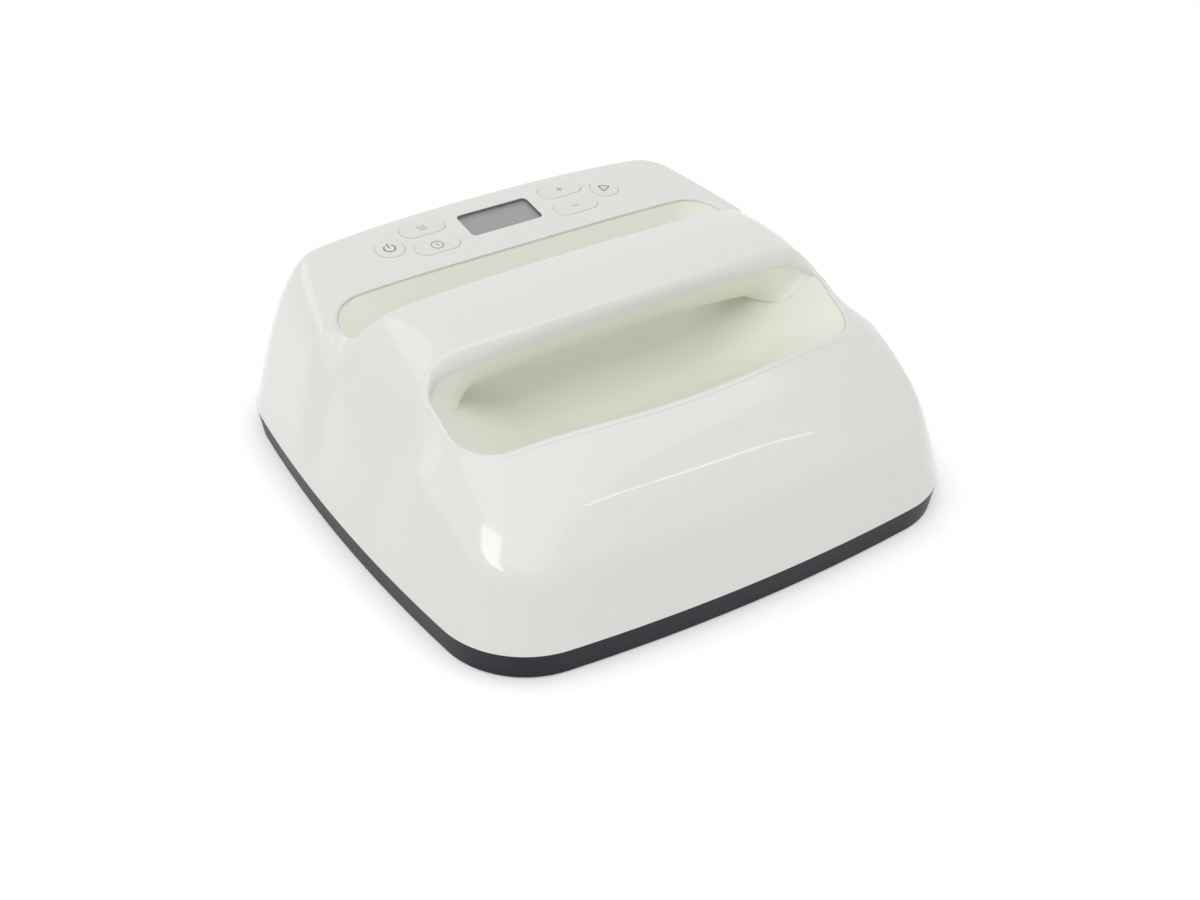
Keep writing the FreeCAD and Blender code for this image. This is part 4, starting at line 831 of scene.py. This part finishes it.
# from the middle of the floor up to the rim, round it, and back down the outside
def bowlRows():
    look = linerLook
    share = np.linspace(0, 1, look["rows"])
    inward = look["firstRow"] + (well["reach"] - look["firstRow"]) * (1 - share)
    steps = np.concatenate([look["middleRows"], inward])
    inner = [bowlRow(rimLoop, step, rimHigh, 0) for step in steps]
    gap, bend = look["gap"], look["round"]
    rimFoot = np.minimum(rimUnder, rimTop - look["rimDepth"])
    rim = [rimRow(-gap - bend, rimTop), rimRow(-gap - bend / 3, rimTop - bend / 3),
           rimRow(-gap, rimTop - bend), rimRow(-gap, rimFoot), rimRow(look["flange"], rimFoot)]
    outer = [bowlRow(bowlLoop(look["outside"]), step, rimFoot, well["wall"]) for step in steps[::-1]]
    return np.stack(inner + rim + outer)


tube, faces = closedTube(bowlRows())
handWell = makeMesh("well_liner", [tube], [faces], sharpAngle=50)
print("hand well:", len(handWell.data.polygons), "faces")

# handle grip

gripLook = {
    "bottom": 70, "arch": 630, "corner": 20, "inset": 0.25, "end": 95.2, "stations": 241, "round": 40,
    "flareStart": 69, "flareEnd": 80, "frontFlare": 4.4, "rearFlare": 2.0, "peak": 87.5, "before": 4.25,
    "after": 3.6, "foot": 1.2, "seamMiddle": 0.08, "seamEnd": 0.22, "cornerStop": 0.3, "headroom": 1.5,
    "underPull": 0.55, "flushPull": 0.6, "bend": 0.35, "lift": 0.05, "topSink": 0.5, "topIn": 3,
}


# height of the bowl at a point: its angle round the middle finds the rim, and its share of the way in gives
# the height
def bowlHeight(x, y):
    rim = rimLoop - bowlMiddle
    angle = np.arctan2(y - bowlMiddle[1], x - bowlMiddle[0])
    around, reach = np.arctan2(rim[:, 1], rim[:, 0]), np.hypot(rim[:, 0], rim[:, 1])
    far = np.interp(angle, around, reach, period=2 * math.pi)
    top = np.interp(angle, around, rimHigh, period=2 * math.pi)
    inward = 1 - np.hypot(x - bowlMiddle[0], y - bowlMiddle[1]) / far
    return well["floor"] + (top - well["floor"]) * bowlRise(np.maximum(inward, 0))


# the opening's edge at the bar, in plan: straight, then round the corner
def barEdge(x, corner):
    past = np.clip(abs(x) - (well["halfLength"] - corner), 0, corner - gripLook["cornerStop"])
    return corner - np.sqrt(corner ** 2 - past ** 2), past / corner


# how far the grip's ends flare out beyond the lip: a parabola to each side of its peak
def flareOut(x, flare):
    short = gripLook["peak"] - abs(x)
    return flare - np.where(short > 0, short / gripLook["before"], short / gripLook["after"]) ** 2


# one side of the grip: from under the shell's roll it curves under to the flat bottom, and at the bar's ends
# it flares out and ends flush on the bowl, with a short upright foot in it; side is -1 in front and 1 behind
def gripSide(x, side, flare, roll, grow):
    look = gripLook
    share = smoothStep((abs(x) - look["flareStart"]) / (look["flareEnd"] - look["flareStart"]))
    corner, bar = ("frontCorner", "barFront") if side < 0 else ("rearCorner", "barBack")
    rounded, turned = barEdge(x, shellLook[corner])
    edge = well[bar] + rounded
    y0 = side * (edge - look["inset"] + grow)
    depth = rollSize(x, np.sqrt(1 - turned ** 2), roll)[1]
    seam = look["seamMiddle"] + (look["seamEnd"] - look["seamMiddle"]) * share
    depth = np.minimum(depth, lipDrop(side * edge) - shellLook["straight"])
    z0 = domeAt(x, side * edge) - depth - seam + grow
    bottom = look["bottom"] - x ** 2 / (2 * look["arch"]) - grow
    out = np.maximum(flareOut(x, flare), -look["corner"])
    foot = y0 + side * out
    onBowl = np.minimum(bowlHeight(x, foot), z0 - look["headroom"])
    t = np.linspace(0, 1, look["round"])[:, None]
    under = [(y0, z0), (y0, z0 - look["underPull"] * (z0 - bottom)),
             (y0 - side * look["bend"] * look["corner"], bottom), (y0 - side * look["corner"], bottom)]
    flush = [(y0, z0), (y0, z0 - look["flushPull"] * (z0 - onBowl)),
             (y0 + side * look["bend"] * out, onBowl + look["lift"] * (z0 - onBowl)), (foot, onBowl)]
    weights = [(1 - t) ** 3, 3 * t * (1 - t) ** 2, 3 * t ** 2 * (1 - t), t ** 3]
    y, z = (sum(weight * (curled[axis] * (1 - share) + flat[axis] * share)
                for weight, curled, flat in zip(weights, under, flush)) for axis in (0, 1))
    y, z = np.concatenate([y, y[-1:]]), np.concatenate([z, z[-1:] - (look["foot"] + grow) * share])
    return np.stack([np.broadcast_to(x, y.shape), y, z], axis=-1)


# loops across the bar, one for each station along it: down in front, up behind and back over a flat top
def gripRows(grow):
    look = gripLook
    x = np.linspace(-look["end"] - grow, look["end"] + grow, look["stations"])
    front = gripSide(x, -1, look["frontFlare"], shellLook["frontRoll"], grow)
    rear = gripSide(x, 1, look["rearFlare"], shellLook["rearRoll"], grow)
    top = np.minimum(front[0, :, 2], rear[0, :, 2]) - look["topSink"]
    inner = [np.stack([x, y, top], axis=-1)
             for y in (rear[0, :, 1] - look["topIn"], front[0, :, 1] + look["topIn"])]
    return np.concatenate([front, rear[::-1], np.stack(inner)]).transpose(1, 0, 2)


tube, faces = closedTube(gripRows(0))
handleGrip = makeMesh("bar_grip", [tube], [faces], sharpAngle=50)
part(handleGrip, "housing", finishes["cream"], ["handle_grip"])
# the liner ends a hair off the grip, which shows as a fine dark seam
tube, faces = closedTube(gripRows(linerLook["groove"]))
cutWith(handWell, [makeMesh("groove_cutter", [tube], [faces])], "MANIFOLD")
part(handWell, "housing", finishes["cream"], ["hand_well"])
print("grip:", len(handleGrip.data.polygons), "faces, liner cut:", len(handWell.data.polygons), "faces")

# floor, lights and camera

stageLook = {
    "reach": 6.0, "floor": (0.93, 0.93, 0.93), "patch": 0.99, "patchScale": 6, "roughness": 0.9,
    "gloss": 0.1, "world": 0.58, "glow": 0.27, "fade": (0.35, 0.8),
}


# 1 for a ray from the camera, in gloss or through glass, and 0 for a ray that lights
def seenRay(nodes, links):
    path = nodes.new("ShaderNodeLightPath")
    first, second = nodes.new("ShaderNodeMath"), nodes.new("ShaderNodeMath")
    first.operation = second.operation = "MAXIMUM"
    links.new(path.outputs["Is Camera Ray"], first.inputs[0])
    links.new(path.outputs["Is Transmission Ray"], first.inputs[1])
    links.new(first.outputs[0], second.inputs[0])
    links.new(path.outputs["Is Glossy Ray"], second.inputs[1])
    return second.outputs[0]


# a wide pale floor with a faint pattern
def makeFloor():
    size = stageLook["reach"]
    mesh = bpy.data.meshes.new("floor")
    corners = [(-size, -size, 0), (size, -size, 0), (size, size, 0), (-size, size, 0)]
    mesh.from_pydata(corners, [], [(0, 1, 2, 3)])
    floor = bpy.data.objects.new("floor", mesh)
    bpy.context.scene.collection.objects.link(floor)
    material, nodes, links, shader = newMaterial("pale floor")
    place = nodes.new("ShaderNodeTexCoord")
    noise = nodes.new("ShaderNodeTexNoise")
    noise.inputs["Scale"].default_value = stageLook["patchScale"]
    tint = nodes.new("ShaderNodeMixRGB")
    tint.inputs[1].default_value = (*[value * stageLook["patch"] for value in stageLook["floor"]], 1)
    tint.inputs[2].default_value = (*stageLook["floor"], 1)
    links.new(place.outputs["Object"], noise.inputs["Vector"])
    links.new(noise.outputs["Fac"], tint.inputs[0])
    links.new(tint.outputs[0], shader.inputs["Base Color"])
    shader.inputs["Roughness"].default_value = stageLook["roughness"]
    shader.inputs["Specular IOR Level"].default_value = stageLook["gloss"]
    # seen directly or in gloss the floor is a little brighter than its light, and further out it turns white
    seen = seenRay(nodes, links)
    glow = nodes.new("ShaderNodeMath")
    glow.operation = "MULTIPLY"
    glow.inputs[1].default_value = stageLook["glow"]
    shader.inputs["Emission Color"].default_value = (1, 1, 1, 1)
    links.new(seen, glow.inputs[0])
    links.new(glow.outputs[0], shader.inputs["Emission Strength"])
    far = nodes.new("ShaderNodeVectorMath")
    far.operation = "LENGTH"
    fade = nodes.new("ShaderNodeMapRange")
    fade.inputs["From Min"].default_value, fade.inputs["From Max"].default_value = stageLook["fade"]
    white = nodes.new("ShaderNodeEmission")
    both = nodes.new("ShaderNodeMixShader")
    whole = nodes.new("ShaderNodeMath")
    whole.operation = "MULTIPLY"
    links.new(place.outputs["Object"], far.inputs[0])
    links.new(far.outputs["Value"], fade.inputs["Value"])
    links.new(fade.outputs[0], whole.inputs[0])
    links.new(seen, whole.inputs[1])
    links.new(whole.outputs[0], both.inputs[0])
    links.new(shader.outputs[0], both.inputs[1])
    links.new(white.outputs[0], both.inputs[2])
    links.new(both.outputs[0], nodes["Material Output"].inputs["Surface"])
    mesh.materials.append(material)


# a lamp's long side runs along a given direction, or level where none is given
def areaLight(name, place, target, width, height, power, along=None):
    light = bpy.data.lights.new(name, "AREA")
    light.shape = "RECTANGLE"
    light.size, light.size_y = width, height
    light.energy = power
    back = (Vector(place) - Vector(target)).normalized()
    side = Vector(along) if along else Vector((0, 0, 1)).cross(back)
    side = (side - back * side.dot(back)).normalized()
    lamp = bpy.data.objects.new(name, light)
    turn = Matrix((side, back.cross(side), back)).transposed().to_4x4()
    lamp.matrix_world = Matrix.Translation(place) @ turn
    bpy.context.scene.collection.objects.link(lamp)
    return lamp


# a white world, dimmer for the rays that light
def makeWorld():
    world = bpy.data.worlds.new("studio")
    bpy.context.scene.world = world
    world.use_nodes = True
    nodes, links = world.node_tree.nodes, world.node_tree.links
    background = nodes["Background"]
    background.inputs["Color"].default_value = (1, 1, 1, 1)
    level = nodes.new("ShaderNodeMapRange")
    level.inputs["To Min"].default_value = stageLook["world"]
    level.inputs["To Max"].default_value = 1.0
    links.new(seenRay(nodes, links), level.inputs["Value"])
    links.new(level.outputs[0], background.inputs["Strength"])


makeFloor()
makeWorld()
# place, target, width and height in metres, power in watts and, for the streak, the long side's direction
lamps = {
    "top softbox": ((0.1, -0.25, 1.45), (0, 0, 0.05), 1.5, 1.3, 4.6),
    "front fill": ((-0.3, -1.15, 0.75), (0, 0, 0.05), 1.5, 0.7, 0.5),
    "left fill": ((-1.35, -0.20, 0.80), (-0.05, -0.05, 0.05), 1.7, 1.2, 2.1),
    "rear fill": ((-0.65, 1.10, 1.15), (0, 0, 0.05), 1.5, 1.0, 2.6),
    "left softbox": ((-0.76, -0.70, 1.24), (-0.1, -0.09, 0.05), 0.30, 0.62, 2.2),
    "streak": ((0.62, -0.775, 1.16), (-0.015, -0.097, 0.057), 0.62, 0.006, 0.1, (0.526, 0.045, -0.207)),
}
for name, settings in lamps.items():
    areaLight(name, *settings)

# angles in degrees, lengths in metres, lens and sensor in millimetres
cameraPlace = {
    "azimuth": -33.286, "elevation": 35.557, "roll": 1.104, "distance": 0.79719, "lens": 54.68,
    "target": (-0.006016, -0.018179, 0.014640), "sensor": 36, "clip": (0.01, 50),
}


# the camera stands back from its target at an azimuth and an elevation, turned by its roll
def makeCamera():
    place = cameraPlace
    azimuth, elevation, roll = (math.radians(place[key]) for key in ("azimuth", "elevation", "roll"))
    back = Vector((math.sin(azimuth) * math.cos(elevation), -math.cos(azimuth) * math.cos(elevation),
                   math.sin(elevation)))
    right = Vector((math.cos(azimuth), math.sin(azimuth), 0))
    up = back.cross(right)
    turnedRight = right * math.cos(roll) + up * math.sin(roll)
    turnedUp = up * math.cos(roll) - right * math.sin(roll)
    data = bpy.data.cameras.new("camera")
    data.lens, data.sensor_width, data.sensor_fit = place["lens"], place["sensor"], "HORIZONTAL"
    data.clip_start, data.clip_end = place["clip"]
    camera = bpy.data.objects.new("camera", data)
    camera.matrix_world = Matrix((
        (turnedRight.x, turnedUp.x, back.x, 0), (turnedRight.y, turnedUp.y, back.y, 0),
        (turnedRight.z, turnedUp.z, back.z, 0), (0, 0, 0, 1)))
    camera.location = Vector(place["target"]) + back * place["distance"]
    bpy.context.scene.collection.objects.link(camera)
    bpy.context.scene.camera = camera


makeCamera()
bpy.context.scene.view_settings.view_transform = "Standard"
print("stage ready")

bpy.context.view_layer.update()
